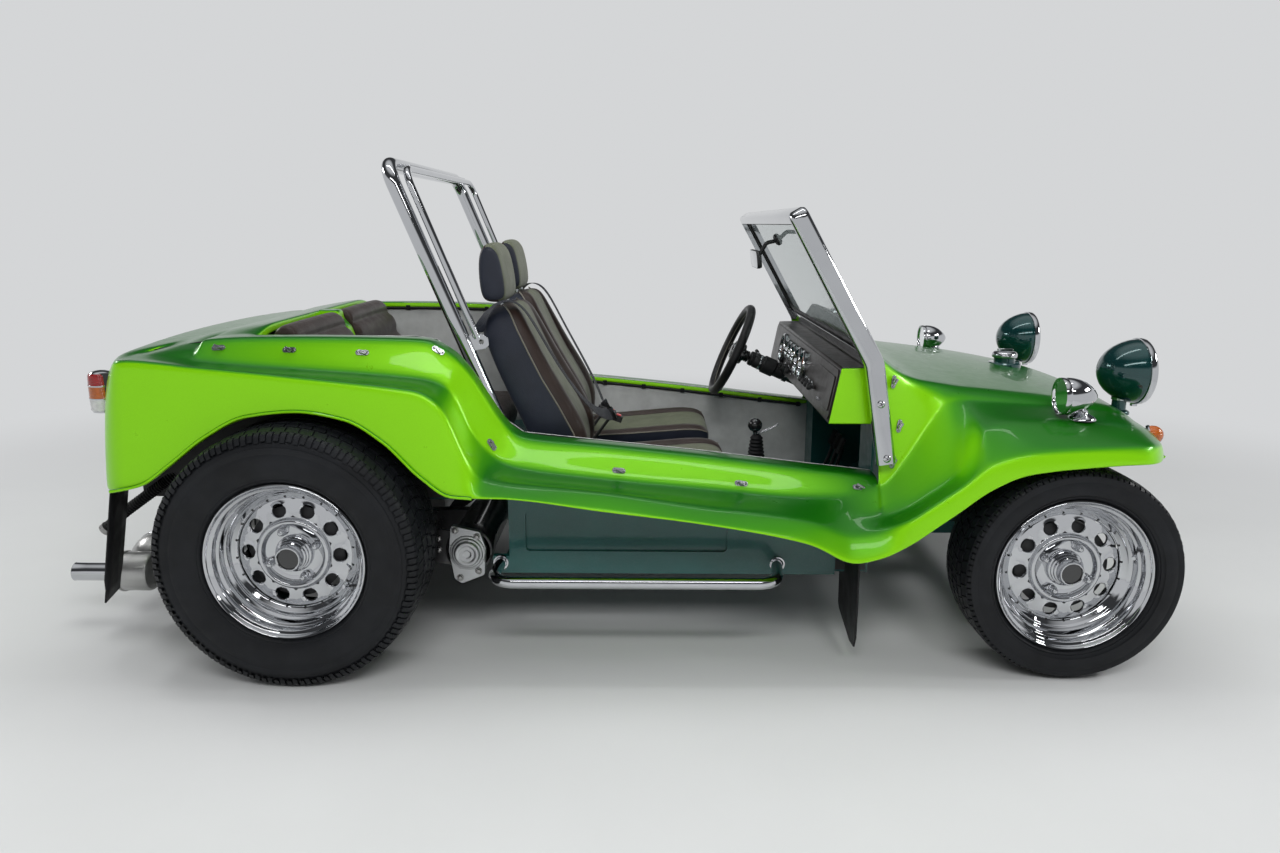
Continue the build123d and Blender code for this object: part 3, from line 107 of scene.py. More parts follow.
class Form:
    """Points in mm from the rear axle with faces, gathered into one mesh."""

    def __init__(self):
        self.points, self.faces, self.marks = [], [], []

    def add(self, points, faces, mark=0):
        start = len(self.points)
        self.points += [Vector(p) for p in points]
        self.faces += [[start + i for i in face] for face in faces]
        self.marks += [mark] * len(faces)
        return self

    def join(self, other):
        start = len(self.points)
        self.points += other.points
        self.faces += [[start + i for i in face] for face in other.faces]
        self.marks += other.marks
        return self

    def grid(self, rows, around=False, along=False, mark=0, ends=()):
        """Quads between rows of points. around closes each row, along joins the last row to the first,
        and ends closes the first and last rows, with a mark for each."""
        wide, start = len(rows[0]), len(self.points)
        faces = []
        for r in range(len(rows) if along else len(rows) - 1):
            for c in range(wide if around else wide - 1):
                a, b = r * wide, (r + 1) % len(rows) * wide
                d = (c + 1) % wide
                faces.append([a + c, a + d, b + d, b + c])
        self.add([p for row in rows for p in row], faces, mark)
        if ends:
            last = start + (len(rows) - 1) * wide
            self.faces += [list(range(start, start + wide))[::-1], list(range(last, last + wide))]
            self.marks += list(ends)
        return self

    def lathe(self, profile, place, segments=48, mark=0, closed=False):
        """A turned form from (along, radius) pairs, about the place's z axis."""
        rows = []
        for along, radius in profile:
            ring = []
            for k in range(segments):
                turn = 2 * pi * k / segments
                ring.append(place @ Vector((radius * math.cos(turn), radius * math.sin(turn), along)))
            rows.append(ring)
        return self.grid(rows, around=True, along=closed, mark=mark)

    def tube(self, path, radius, segments=16, mark=0, caps=True):
        """A round bar along a path. radius is one value or one for each point."""
        path = [Vector(p) for p in path]
        rows, side = [], None
        for i, here in enumerate(path):
            ahead = (path[min(i + 1, len(path) - 1)] - path[max(i - 1, 0)]).normalized()
            if side is None:
                side = ahead.orthogonal().normalized()
            side = (side - ahead * side.dot(ahead)).normalized()
            up = ahead.cross(side)
            r = radius[i] if isinstance(radius, (list, tuple)) else radius
            ring = []
            for k in range(segments):
                turn = 2 * pi * k / segments
                ring.append(here + (side * math.cos(turn) + up * math.sin(turn)) * r)
            rows.append(ring)
        return self.grid(rows, around=True, mark=mark, ends=(mark, mark) if caps else ())

    def plate(self, outline, place, thick, mark=0):
        """A flat plate from an outline in the place's xy plane, thick along its z."""
        n = len(outline)
        low = [place @ Vector((a, b, 0)) for a, b in outline]
        high = [place @ Vector((a, b, thick)) for a, b in outline]
        sides = [[i, (i + 1) % n, (i + 1) % n + n, i + n] for i in range(n)]
        return self.add(low + high, sides + [list(range(n))[::-1], list(range(n, 2 * n))], mark)

    def box(self, low, high, mark=0, place=None):
        """A plain block, whose edges the piece's bevel softens."""
        outline = [(low[0], low[1]), (high[0], low[1]), (high[0], high[1]), (low[0], high[1])]
        spot = (place or Matrix.Identity(4)) @ Matrix.Translation((0, 0, low[2]))
        return self.plate(outline, spot, high[2] - low[2], mark)

    def mirrored(self):
        """The form on the other side of the car."""
        other = Form()
        other.points = [Vector((p.x, -p.y, p.z)) for p in self.points]
        other.faces = [face[::-1] for face in self.faces]
        other.marks = list(self.marks)
        return other

    def both(self):
        return self.join(self.mirrored())

    def make(
        self, name, materials, body="car", slot=None, stands_for=(), bevel=0.0, wall=0.0, levels=0, sharp=35
    ):
        """The Blender piece, riding on its body."""
        mesh = bpy.data.meshes.new(name)
        mesh.from_pydata([at(*p) for p in self.points], [], self.faces)
        mesh.validate()
        obj = bpy.data.objects.new(name, mesh)
        bpy.context.scene.collection.objects.link(obj)
        for item in materials if isinstance(materials, (list, tuple)) else [materials]:
            mesh.materials.append(item)
        mesh.polygons.foreach_set("material_index", self.marks)
        settle(mesh)
        mesh.shade_smooth()
        if bevel:
            edges = obj.modifiers.new("edges", "BEVEL")
            edges.width, edges.segments, edges.limit_method = bevel / 1000, 2, "ANGLE"
            edges.angle_limit = math.radians(sharp)
            edges.harden_normals = False
        if levels:
            fine = obj.modifiers.new("fine", "SUBSURF")
            fine.levels = fine.render_levels = levels
        if wall:
            shell = obj.modifiers.new("wall", "SOLIDIFY")
            shell.thickness, shell.offset = wall / 1000, -1
        if not levels:
            mesh.set_sharp_from_angle(angle=math.radians(sharp))
        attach(obj, body)
        if stands_for:
            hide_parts(*stands_for)
        return obj


WELD = 0.00001


def settle(mesh):
    """Welds points that coincide and turns every face outward."""
    import bmesh

    bm = bmesh.new()
    bm.from_mesh(mesh)
    bmesh.ops.remove_doubles(bm, verts=bm.verts, dist=WELD)
    bmesh.ops.recalc_face_normals(bm, faces=bm.faces)
    bm.to_mesh(mesh)
    bm.free()


def facing(point, z_axis, x_axis=None):
    """A place at a point whose z axis points along z_axis."""
    z = Vector(z_axis).normalized()
    x = Vector(x_axis) if x_axis is not None else z.orthogonal()
    x = (x - z * x.dot(z)).normalized()
    y = z.cross(x)
    turn = Matrix((x, y, z)).transposed().to_4x4()
    return Matrix.Translation(Vector(point)) @ turn


def rounded_outline(width, height, radius, steps=5):
    """A rectangle's outline with round corners, about its middle."""
    points = []
    for cx, cy, start in ((1, 1, 0), (-1, 1, 0.5), (-1, -1, 1.0), (1, -1, 1.5)):
        for k in range(steps + 1):
            turn = pi * (start + 0.5 * k / steps)
            across, up = width / 2 - radius, height / 2 - radius
            points.append((cx * across + radius * math.cos(turn), cy * up + radius * math.sin(turn)))
    return points


# Materials. Each is a node tree in object coordinates, so that nothing depends on unwrapped surfaces.
class Tree:
    """A node tree and short ways to add to it."""

    def __init__(self, tree):
        self.nodes, self.links = tree.nodes, tree.links

    def add(self, kind, **inputs):
        """A node of a kind, with constants on its sockets."""
        node = self.nodes.new("ShaderNode" + kind)
        for key, value in inputs.items():
            node.inputs[key.replace("_", " ")].default_value = value
        return node

    def ramp(self, value, stops):
        """A value turned into a colour by stops of position and colour, or position and grey."""
        node = self.add("ValToRGB")
        elements = node.color_ramp.elements
        while len(elements) < len(stops):
            elements.new(0.5)
        for element, (position, color) in zip(elements, stops):
            element.position = position
            element.color = (*color, 1) if isinstance(color, tuple) else (color, color, color, 1)
        self.links.new(value, node.inputs["Fac"])
        return node.outputs["Color"]


class Finish(Tree):
    """A principled material in the making, with object coordinates in metres for its textures."""

    def __init__(self, name, color, rough, metal=0.0, **inputs):
        self.mat, self.color = bpy.data.materials.new(name), color
        self.mat.use_nodes = True
        self.mat.diffuse_color = (*color, 1)
        super().__init__(self.mat.node_tree)
        self.bsdf = self.nodes["Principled BSDF"]
        self.bsdf.inputs["Base Color"].default_value = (*color, 1)
        self.bsdf.inputs["Roughness"].default_value = rough
        self.bsdf.inputs["Metallic"].default_value = metal
        for key, value in inputs.items():
            self.bsdf.inputs[key.replace("_", " ")].default_value = value
        self.where = self.add("TexCoord").outputs["Object"]

    def texture(self, kind, **inputs):
        node = self.add("Tex" + kind, **inputs)
        self.links.new(self.where, node.inputs["Vector"])
        return node

    def noise(self, scale, detail=4.0):
        return self.texture("Noise", Scale=scale, Detail=detail, Roughness=0.55).outputs["Fac"]

    def wave(self, direction, scale, **inputs):
        node = self.texture("Wave", Scale=scale, **inputs)
        node.bands_direction = direction
        return node.outputs["Fac"]

    def color_mix(self, how, a, b):
        """Two colours multiplied or added into the base colour."""
        node = self.add("Mix")
        node.data_type, node.blend_type = "RGBA", how
        node.inputs["Factor"].default_value = 1.0
        self.links.new(a, node.inputs["A"])
        self.links.new(b, node.inputs["B"])
        self.links.new(node.outputs["Result"], self.bsdf.inputs["Base Color"])

    def gloss(self, value, stops):
        self.links.new(self.ramp(value, stops), self.bsdf.inputs["Roughness"])

    def vary(self, spread, scale, rough, rough_scale):
        """A little drift in colour and gloss, as on a used part."""
        dark = tuple(c * (1 - spread) for c in self.color)
        light = tuple(min(c * (1 + spread), 1) for c in self.color)
        tint = self.ramp(self.noise(scale), [(0.3, dark), (0.7, light)])
        self.links.new(tint, self.bsdf.inputs["Base Color"])
        self.gloss(self.noise(rough_scale), [(0.3, rough[0]), (0.7, rough[1])])
        return tint

    def bump(self, height, distance, strength=1.0):
        """Raises the surface by a height texture, distance in metres."""
        node = self.add("Bump", Distance=distance, Strength=strength)
        self.links.new(height, node.inputs["Height"])
        before = self.bsdf.inputs["Normal"].links
        if before:
            self.links.new(before[0].from_socket, node.inputs["Normal"])
        self.links.new(node.outputs["Normal"], self.bsdf.inputs["Normal"])


# Painted shade and reflection: the lime darkens as the surface turns from the side to the sky, standing in
# for the dark ceiling that upward faces reflect.
LIME_PAINTED_SHADE_STOPS = [
    (0.0, (0.27, 0.72, 0.003)), (0.4, (0.24, 0.67, 0.003)), (0.52, (0.12, 0.45, 0.003)),
    (0.64, (0.045, 0.28, 0.003)), (0.82, (0.012, 0.155, 0.004)), (0.97, (0.006, 0.115, 0.004)),
]


def body_paint():
    """Candy lime over fine flake, with painted shade and reflection making it deeper where the moulding faces
    up.
    """
    coat = dict(Coat_Weight=0.4, Coat_Roughness=0.02, Coat_IOR=1.4, Specular_IOR_Level=0.22)
    paint = Finish("paint_lime", (0.24, 0.62, 0.005), 0.3, 0.2, **coat)
    # Painted shade: the base colour follows which way the surface faces, darker as it faces up.
    split = paint.add("SeparateXYZ")
    paint.links.new(paint.add("NewGeometry").outputs["Normal"], split.inputs["Vector"])
    deep = paint.ramp(split.outputs["Z"], LIME_PAINTED_SHADE_STOPS)
    flake = paint.texture("Voronoi", Scale=2600).outputs["Color"]
    paint.color_mix("MULTIPLY", deep, paint.ramp(flake, [(0.0, 0.82), (1.0, 1.0)]))
    paint.bump(paint.noise(9.0, 2.0), 0.0006)
    paint.gloss(paint.noise(40.0), [(0.0, 0.24), (1.0, 0.36)])
    return paint.mat


def chrome(name="chrome", tint=(0.58, 0.59, 0.61), rough=(0.02, 0.07)):
    """Plated metal with faint haze."""
    plate = Finish(name, tint, 0.04, 1.0)
    plate.vary(0.03, 14.0, rough, 30.0)
    plate.bump(plate.noise(12.0, 2.0), 0.0002)
    return plate.mat


def coated(name, color, rough=(0.18, 0.3), metal=0.0, coat=0.6, speck=0.0, speck_scale=0.0, grain=0.00004):
    """Paint or powder coat with slight orange peel and optional bright specks."""
    paint = Finish(name, color, rough[0], metal, Coat_Weight=coat, Coat_Roughness=0.06)
    tint = paint.vary(0.12, 7.0, rough, 35.0)
    if speck:
        dots = paint.texture("Voronoi", Scale=speck_scale).outputs["Distance"]
        paint.color_mix("ADD", tint, paint.ramp(dots, [(0.0, speck), (0.35, 0.0)]))
    paint.bump(paint.noise(260.0, 3.0), grain)
    return paint.mat


def rubber(name, color=(0.006, 0.0068, 0.0085), grain=240.0):
    """Moulded rubber with a dusty drift."""
    skin = Finish(name, color, 0.42, Specular_IOR_Level=0.3)
    skin.vary(0.35, 9.0, (0.42, 0.6), 20.0)
    skin.bump(skin.noise(grain, 5.0), 0.0003, 0.6)
    return skin.mat


def leather(name, color, rough=(0.38, 0.52)):
    """Pebbled leather with soft creases."""
    hide = Finish(name, color, rough[0], Sheen_Weight=0.08)
    hide.vary(0.18, 12.0, rough, 25.0)
    pebble = hide.texture("Voronoi", Scale=520)
    pebble.feature = "SMOOTH_F1"
    hide.bump(pebble.outputs["Distance"], 0.0004, 0.7)
    hide.bump(hide.noise(28.0, 3.0), 0.0015, 0.5)
    return hide.mat


def cast(name, color=(0.55, 0.56, 0.57), rough=(0.35, 0.55), metal=1.0):
    """Sand-cast metal."""
    metal_skin = Finish(name, color, rough[0], metal)
    metal_skin.vary(0.15, 10.0, rough, 40.0)
    metal_skin.bump(metal_skin.noise(420.0, 6.0), 0.0005, 0.8)
    return metal_skin.mat


def ribbed_cloth():
    """Pale grey lining with fine woven ribs."""
    cloth = Finish("lining", (0.54, 0.555, 0.545), 0.9, Sheen_Weight=0.2)
    tint = cloth.vary(0.12, 18.0, (0.85, 0.95), 60.0)
    ribs = cloth.wave("Z", 78, Distortion=0.6, Detail=2)
    warp = cloth.wave("X", 90, Distortion=0.8)
    cloth.color_mix("MULTIPLY", tint, cloth.ramp(ribs, [(0.0, 0.72), (0.5, 1.0)]))
    cloth.bump(ribs, 0.0005)
    cloth.bump(warp, 0.0002)
    return cloth.mat


def webbing():
    """Dark blue woven belt."""
    web = Finish("belt_blue", (0.005, 0.007, 0.014), 0.6, Sheen_Weight=0.05)
    web.vary(0.2, 30.0, (0.55, 0.7), 40.0)
    web.bump(web.wave("Y", 110), 0.0006)
    return web.mat


def glass(name, color):
    """Clear or tinted glass with a faint film of dust."""
    pane = Finish(name, color, 0.0, Transmission_Weight=1.0, IOR=1.45)
    pane.gloss(pane.noise(6.0, 5.0), [(0.4, 0.0), (0.8, 0.05)])
    return pane.mat


def lens(name, color):
    """Moulded lamp lens with small prisms."""
    moulding = Finish(name, color, 0.12, Coat_Weight=0.8, Transmission_Weight=0.25)
    moulding.vary(0.15, 60.0, (0.1, 0.2), 80.0)
    moulding.bump(moulding.wave("Z", 70), 0.0006)
    return moulding.mat


PAINT = body_paint()
CHROME = chrome()
POLISH = chrome("polished_alloy", (0.55, 0.56, 0.58), (0.03, 0.09))
MIRROR = chrome("mirror_glass", (0.9, 0.92, 0.92), (0.0, 0.01))
SNAP = chrome("snap_chrome", (0.42, 0.43, 0.44), (0.14, 0.24))
STEEL = chrome("exhaust_steel", (0.34, 0.335, 0.33), (0.2, 0.4))
TEAL = coated("teal_floor", (0.004, 0.075, 0.07), (0.3, 0.45), 0.1, 0.5, speck=0.10, speck_scale=700.0)
TEAL_LAMP = coated("teal_gloss", (0.001, 0.045, 0.045), (0.1, 0.18), 0.5, 1.0, speck=0.05, speck_scale=2400.0)
BLACK = coated("black_enamel", (0.012, 0.012, 0.013), (0.25, 0.4))
BLACK_GLOSS = coated("black_gloss", (0.01, 0.01, 0.011), (0.06, 0.14), 0.0, 1.0)
BLACK_PLASTIC = coated("black_plastic", (0.02, 0.02, 0.021), (0.42, 0.58), 0.0, 0.0, grain=0.00015)
WELT = coated("welt_thread", (0.16, 0.15, 0.12), (0.5, 0.6), 0.0, 0.0)
DASH_DARK = coated("dash_dark", (0.009, 0.005, 0.004), (0.34, 0.44), 0.0, 0.08)
DIAL_WHITE = coated("dial_white", (0.75, 0.75, 0.72), (0.4, 0.5), 0.0, 0.0)
DIAL_ORANGE = coated("dial_orange", (0.8, 0.16, 0.01), (0.4, 0.5), 0.0, 0.0)
BUTTON_RED = coated("button_red", (0.5, 0.01, 0.01), (0.3, 0.4), 0.0, 0.3)
TYRE = rubber("tyre_rubber")
RUBBER = rubber("black_rubber", (0.009, 0.009, 0.010), 120.0)
BROWN = leather("leather_brown", (0.022, 0.012, 0.009))
NAVY = leather("leather_night", (0.010, 0.013, 0.024))
OLIVE = leather("leather_olive", (0.100, 0.112, 0.068), (0.5, 0.65))
HIDE = leather("leather_black", (0.005, 0.005, 0.006), (0.38, 0.5))
CAST = cast("cast_silver")
ENGINE = cast("engine_cast", (0.36, 0.36, 0.35), (0.45, 0.65))
SATIN = cast("satin_steel", (0.46, 0.46, 0.45), (0.28, 0.42))
IRON = cast("drum_iron", (0.05, 0.05, 0.052), (0.5, 0.7), 0.6)
LINING, BELT = ribbed_cloth(), webbing()
CLEAR = glass("clear_glass", (0.96, 0.98, 0.98))
TINTED = glass("tinted_glass", (0.42, 0.48, 0.47))
AMBER = lens("amber_lens", (0.50, 0.11, 0.004))
RED = lens("red_lens", (0.32, 0.004, 0.006))
WHITE = lens("clear_lens", (0.75, 0.75, 0.75))


# Body sections, outboard from the cockpit rail: x, then rail z, ridge z, dip z, crest z, lip z.
RAIL_IN, RAIL_OUT, RIDGE_Y, DIP_Y, CREST_Y, LIP_Y = 540, 600, 640, 690, 745, 785
LIP_Z = 499
SIDE_ROWS = [
    (-430, 842, 841, 839, 844, LIP_Z),
    (-396, 846, 841, 838, 847, LIP_Z),
    (-340, 850, 838, 831, 844, LIP_Z),
    (-281, 853, 832, 822, 838, LIP_Z),
    (-267, 879, 829, 819, 836, LIP_Z),
    (-134, 887, 816, 806, 824, LIP_Z),
    (0, 888, 807, 797, 810, LIP_Z),
    (290, 884, 786, 773, 778, LIP_Z),
    (345, 878, 779, 764, 768, LIP_Z),
    (390, 850, 763, 746, 734, LIP_Z),
    (440, 794, 652, 636, 626, LIP_Z),
    (490, 713, 588, 558, 538, LIP_Z),
    (530, 655, 556, 541, 534, LIP_Z),
    (575, 620, 541, 527, 530, 497),
    (790, 598, 514, 500, 511, 468),
    (1060, 571, 489, 474, 471, 434),
    (1340, 538, 466, 448, 432, 380),
    (1450, 526, 470, 434, 392, 328),
    (1535, 516, 498, 428, 412, 350),
]
# x, then y and z of the hood's edge, ridge, dip, crest and lip.
FRONT_ROWS = [
    (1535, 612, 835, 640, 486, 692, 428, 745, 412, 785, 350),
    (1595, 582, 792, 614, 558, 700, 446, 768, 450, 785, 384),
    (1655, 564, 768, 592, 636, 700, 487, 768, 494, 785, 429),
    (1715, 554, 757, 582, 708, 700, 534, 768, 537, 785, 474),
    (1752, 548, 751, 574, 716, 696, 604, 768, 566, 785, 504),
    (1785, 542, 746, 568, 715, 686, 668, 768, 590, 785, 527),
    (1870, 532, 737, 562, 709, 676, 686, 768, 621, 785, 567),
    (2035, 512, 718, 548, 698, 672, 682, 768, 636, 785, 588),
    (2175, 486, 694, 530, 682, 664, 672, 764, 642, 785, 597),
    (2235, 472, 678, 515, 667, 636, 656, 712, 632, 728, 592),
    (2285, 446, 648, 490, 640, 580, 628, 622, 610, 638, 584),
    (2320, 400, 605, 450, 600, 525, 590, 558, 582, 575, 566),
]
HOOD_CROWN = 24
# The rear wheel opening's edge on the wing's outer face, x and z.
ARCH = [
    (-449, 512), (-419, 517), (-367, 530), (-298, 578), (-203, 651), (-98, 703), (28, 716),
    (151, 696), (247, 640), (343, 550), (417, 503), (470, LIP_Z),
]
# The tail's plan from the wing round to the middle: inner x y z, crest x y z, lip x y z.
TAIL_ROWS = [
    (-426, 524, 842, -456, 729, 843, -466, 762, 508),
    (-412, 490, 850, -480, 700, 843, -489, 737, 505),
    (-394, 440, 857, -496, 655, 844, -505, 688, 505),
    (-380, 365, 861, -508, 580, 846, -519, 606, 506),
    (-371, 302, 863, -520, 496, 848, -531, 500, 509),
    (-369, 282, 864, -523, 458, 850, -535, 446, 514),
    (-368, 270, 864, -525, 438, 850, -536, 426, 560),
    (-367, 258, 864, -527, 416, 850, -535, 412, 660),
    (-365, 240, 865, -529, 392, 851, -535, 388, 700),
    (-359, 185, 866, -537, 300, 853, -542, 302, 703),
    (-353, 92, 868, -546, 150, 854, -550, 152, 704),
    (-351, 0, 869, -550, 0, 854, -554, 0, 704),
]
DECK_FRONT = -150
# The deck's middle height, x and z.
DECK_RISE = [(-560, 854), (-400, 867), (-290, 884), (-204, 899), (DECK_FRONT, 907)]


def columns_of(rows):
    """A smooth curve along x for each column of a table."""
    xs = [row[0] for row in rows]
    return [curve_through(xs, [row[i] for row in rows]) for i in range(1, len(rows[0]))]


side_curves, front_curves = columns_of(SIDE_ROWS), columns_of(FRONT_ROWS)
arch_edge = curve_through([p[0] for p in ARCH], [p[1] for p in ARCH])


def eased(line, reaches):
    """A section with each inner corner turned into two points, so that subdivision rounds it."""
    line = [Vector(point) for point in line]
    result = [line[0]]
    for i in range(1, len(line) - 1):
        for other in (line[i - 1], line[i + 1]):
            away = other - line[i]
            result.append(line[i] + away * min(reaches[i - 1] / away.length, 0.42))
    return result + [line[-1]]


WING_REACHES = (6, 12, 7, 4)  # ridge, dip, crest, lip
ROLL = 15
LINER_COVER = 13


def rail_cover(x):
    """How far the rail's inner edge stands above its outer one behind the step, over the liner."""
    return LINER_COVER * smooth_step(-430, -350, x) * (1 - smooth_step(-281, -267, x))


def side_section(x):
    """One section of the left side, from the liner's edge over the rail to the rolled lip."""
    rail, ridge, dip, crest, lip = [curve(x) for curve in side_curves]
    lip_y = LIP_Y
    if ARCH[0][0] <= x <= ARCH[-1][0]:
        lip = max(arch_edge(x), LIP_Z)
        lip_y = CREST_Y + (crest - lip) / (crest - LIP_Z) * (LIP_Y - CREST_Y)
    inner = rail + rail_cover(x)
    line = [(RAIL_IN - 9, inner - 18), (RAIL_IN - 8, inner), (RAIL_OUT, rail), (RIDGE_Y, ridge), (DIP_Y, dip)]
    line += [(CREST_Y, crest), (lip_y, lip), (lip_y - ROLL, lip - 4)]
    return [Vector((x, y, z)) for y, z in eased(line, (4, 6) + WING_REACHES)]


def tail_section(row):
    """One section across the tail, in step with the side's points from the rail outward."""
    inner, crest, lip = Vector(row[0:3]), Vector(row[3:6]), Vector(row[6:9])
    out = Vector((lip.x - inner.x, lip.y - inner.y, 0)).normalized()
    line = [inner.lerp(crest, share) for share in (0, 0.25, 0.42, 0.58)]
    return eased(line + [crest, lip, lip - out * ROLL], (16, 14, 14, 62, 8))


def front_section(x, drop=0.0, push=0.0):
    """One section of the hood and left wing from the middle out. drop and push turn the nose under."""
    values = [curve(x) for curve in front_curves]
    edge_y, edge_z = values[0:2]
    top = [(edge_y * share, edge_z + HOOD_CROWN * (1 - share**2)) for share in (0, 0.25, 0.5, 0.75, 0.93)]
    line = [top[-1]] + [(values[i], values[i + 1]) for i in range(0, 10, 2)]
    line.append((line[-1][0] - ROLL, line[-1][1] - 4))
    half = [Vector(point) for point in top[:-1]] + eased(line, (24,) + WING_REACHES)
    lip_y, lip_z = values[8:10]
    points = []
    for point in half:
        share = 1 - smooth_step(0.55, 1.0, point.x / lip_y)
        low = lip_z - 8 * share
        z = point.y + (low - point.y) * drop
        points.append(Vector((x + push * (0.35 + 0.65 * share), point.x, z)))
    return points


def cowl_side(x, z):
    """The y of the cowl's side, between the hood's edge and the wing's ridge."""
    edge_y, edge_z, ridge_y, ridge_z = [curve(x) for curve in front_curves[:4]]
    return edge_y + (edge_z - z) / (edge_z - ridge_z) * (ridge_y - edge_y)


deck_middle = curve_through([p[0] for p in DECK_RISE], [p[1] for p in DECK_RISE])


def deck_height(x, y, edge_z):
    """The tail deck's height, humped between the rails."""
    middle = deck_middle(x)
    return middle - (middle - edge_z) * smooth_step(425, 545, abs(y))


def spaced(marks, step):
    """Positions that include every mark, at most a step apart."""
    result = []
    for a, b in zip(marks, marks[1:]):
        parts = max(1, math.ceil((b - a) / step))
        result += [a + (b - a) * k / parts for k in range(parts)]
    return result + [marks[-1]]


def body_shell():
    """The whole green moulding: sides, wings, tail, deck, cowl, hood and nose in one skin."""
    half = Form()
    deck_xs = spaced([-430, -396, -340, -292, -281, -267, -256, DECK_FRONT], 48)
    marks = [
        DECK_FRONT, 0, 290, 345, 390, 415, 440, 465, 490, 510, 530, 552, 575, 790, 1060, 1340, 1450, 1495,
        1535,
    ]
    xs = deck_xs[:-1] + spaced(marks, 52)
    sections = [side_section(x) for x in xs]
    half.grid([section[2:] for section in sections])
    half.grid([section[:3] for x, section in zip(xs, sections) if x >= DECK_FRONT])
    tail = [sections[0][2:]] + [tail_section(row) for row in TAIL_ROWS]
    half.grid(tail)
    rims = [section[0] for section in tail]
    rows = []
    for r, x in enumerate(deck_xs):
        share, rail = (x - deck_xs[0]) / (DECK_FRONT - deck_xs[0]), sections[r][2]
        row = []
        for rim in rims[::-1]:
            ahead = rim.x + (DECK_FRONT - rim.x) * share
            out = rim.y + (rim.y / rims[0].y * rail.y - rim.y) * share
            sink = deck_height(ahead, out, rail.z) - rim.z
            row.append(Vector((ahead, out, rim.z + sink * smooth_step(0, 0.35, share))))
        row[-1] = rail
        rows.append(row)
    last = rows[-1]
    rows += [[p + Vector((ahead, 0, -down)) for p in last] for ahead, down in ((5, 5), (6, 24))]
    half.grid(rows)
    front_marks = [
        1535, 1565, 1595, 1625, 1655, 1685, 1715, 1728, 1752, 1772, 1785, 1800, 1870, 2035, 2175, 2205, 2235,
        2262, 2285, 2304, 2318,
    ]
    front = [front_section(x) for x in spaced(front_marks, 52)]
    front[0][7:] = sections[-1][5:]
    front += [front_section(2320, 0.35, 10), front_section(2320, 0.85, 13), front_section(2320, 1.0, -2)]
    half.grid(front)
    cowl = front[0][7:10]
    half.grid([cowl, [p + Vector((-4, -26, drop)) for p, drop in zip(cowl, (-8, -8, 0))]])
    return half.both()


def arch_bead():
    """The rolled edge round each rear wheel opening."""
    path = []
    for x in spaced([p[0] for p in ARCH], 14):
        lip = side_section(x)[11]
        path.append(lip + Vector((0, 1, -2)))
    return Form().tube(path, 4.5, 10).both()


body_shell().make(
    "body_shell", PAINT, slot="body_paint", levels=2, wall=5,
    stands_for=(
        "body_side_left", "body_side_right", "front_wing_left", "front_wing_right", "hood", "rear_deck"))
arch_bead().make("arch_beads", PAINT, slot="body_paint")


# Wheels. Each is made about its own axle with z outboard, then placed at the hub.
FLANGE, DISH_FRONT, DISH_REAR = 208, 70, 78
HOLES, HOLE_PCD, HOLE_R = 10, 119, 17.5
DISC_IN, DISC_OUT = 98, 148
# End, axle x, hub y, tyre radius and width, dish, angles of the first hole, nut and valve, tread pitches.
WHEELS = [
    ("rear", 0, 716, 343.5, 268, DISH_REAR, 34, 22, -25, 62),
    ("front", WHEELBASE, 668, 288, 200, DISH_FRONT, 5, 64, 17, 54),
]


def spun(radius, turn, along):
    """A point about the axle."""
    return Vector((radius * math.cos(turn), radius * math.sin(turn), along))


def disc_height(radius, face):
    """The pressed disc's height between its outer seam and the raised ring."""
    share = (radius - DISC_IN) / (DISC_OUT - DISC_IN)
    return face + 3 * (1 - share) - 4 * share**3


def wheel_disc(place, face, first):
    """The flat ring of the disc with its round holes, each hole in its own wedge."""
    form = Form()
    wedge = 2 * pi / HOLES
    for n in range(HOLES):
        middle = math.radians(first) + wedge * n
        rows = [[], [], [], [], []]
        for k in range(32):
            turn = 2 * pi * k / 32
            dx, dy = math.cos(turn), math.sin(turn)
            reach = wedge_reach(dx, dy, wedge / 2)
            for row, (share, lift) in enumerate(((1.0, 0), (0.45, 0), (0.12, 1.5), (0.0, -1), (0.0, -9))):
                away = HOLE_R + (reach - HOLE_R) * share
                px, py = HOLE_PCD + dx * away, dy * away
                radius, angle = math.hypot(px, py), math.atan2(py, px)
                rows[row].append(place @ spun(radius, middle + angle, disc_height(radius, face) + lift))
        form.grid(rows, around=True)
    return form


def wedge_reach(dx, dy, half):
    """How far a ray from a hole's centre runs before it leaves the hole's wedge of the disc."""
    best = 1e9
    for side in (1, -1):
        across = side * dy * math.cos(half) - dx * math.sin(half)
        if across > 1e-9:
            best = min(best, HOLE_PCD * math.sin(half) / across)
    for radius, sign in ((DISC_OUT, 1), (DISC_IN, -1)):
        b = HOLE_PCD * dx
        root = b * b - HOLE_PCD**2 + radius**2
        if root >= 0:
            reach = -b + sign * math.sqrt(root)
            if reach > 0:
                best = min(best, reach)
    return best


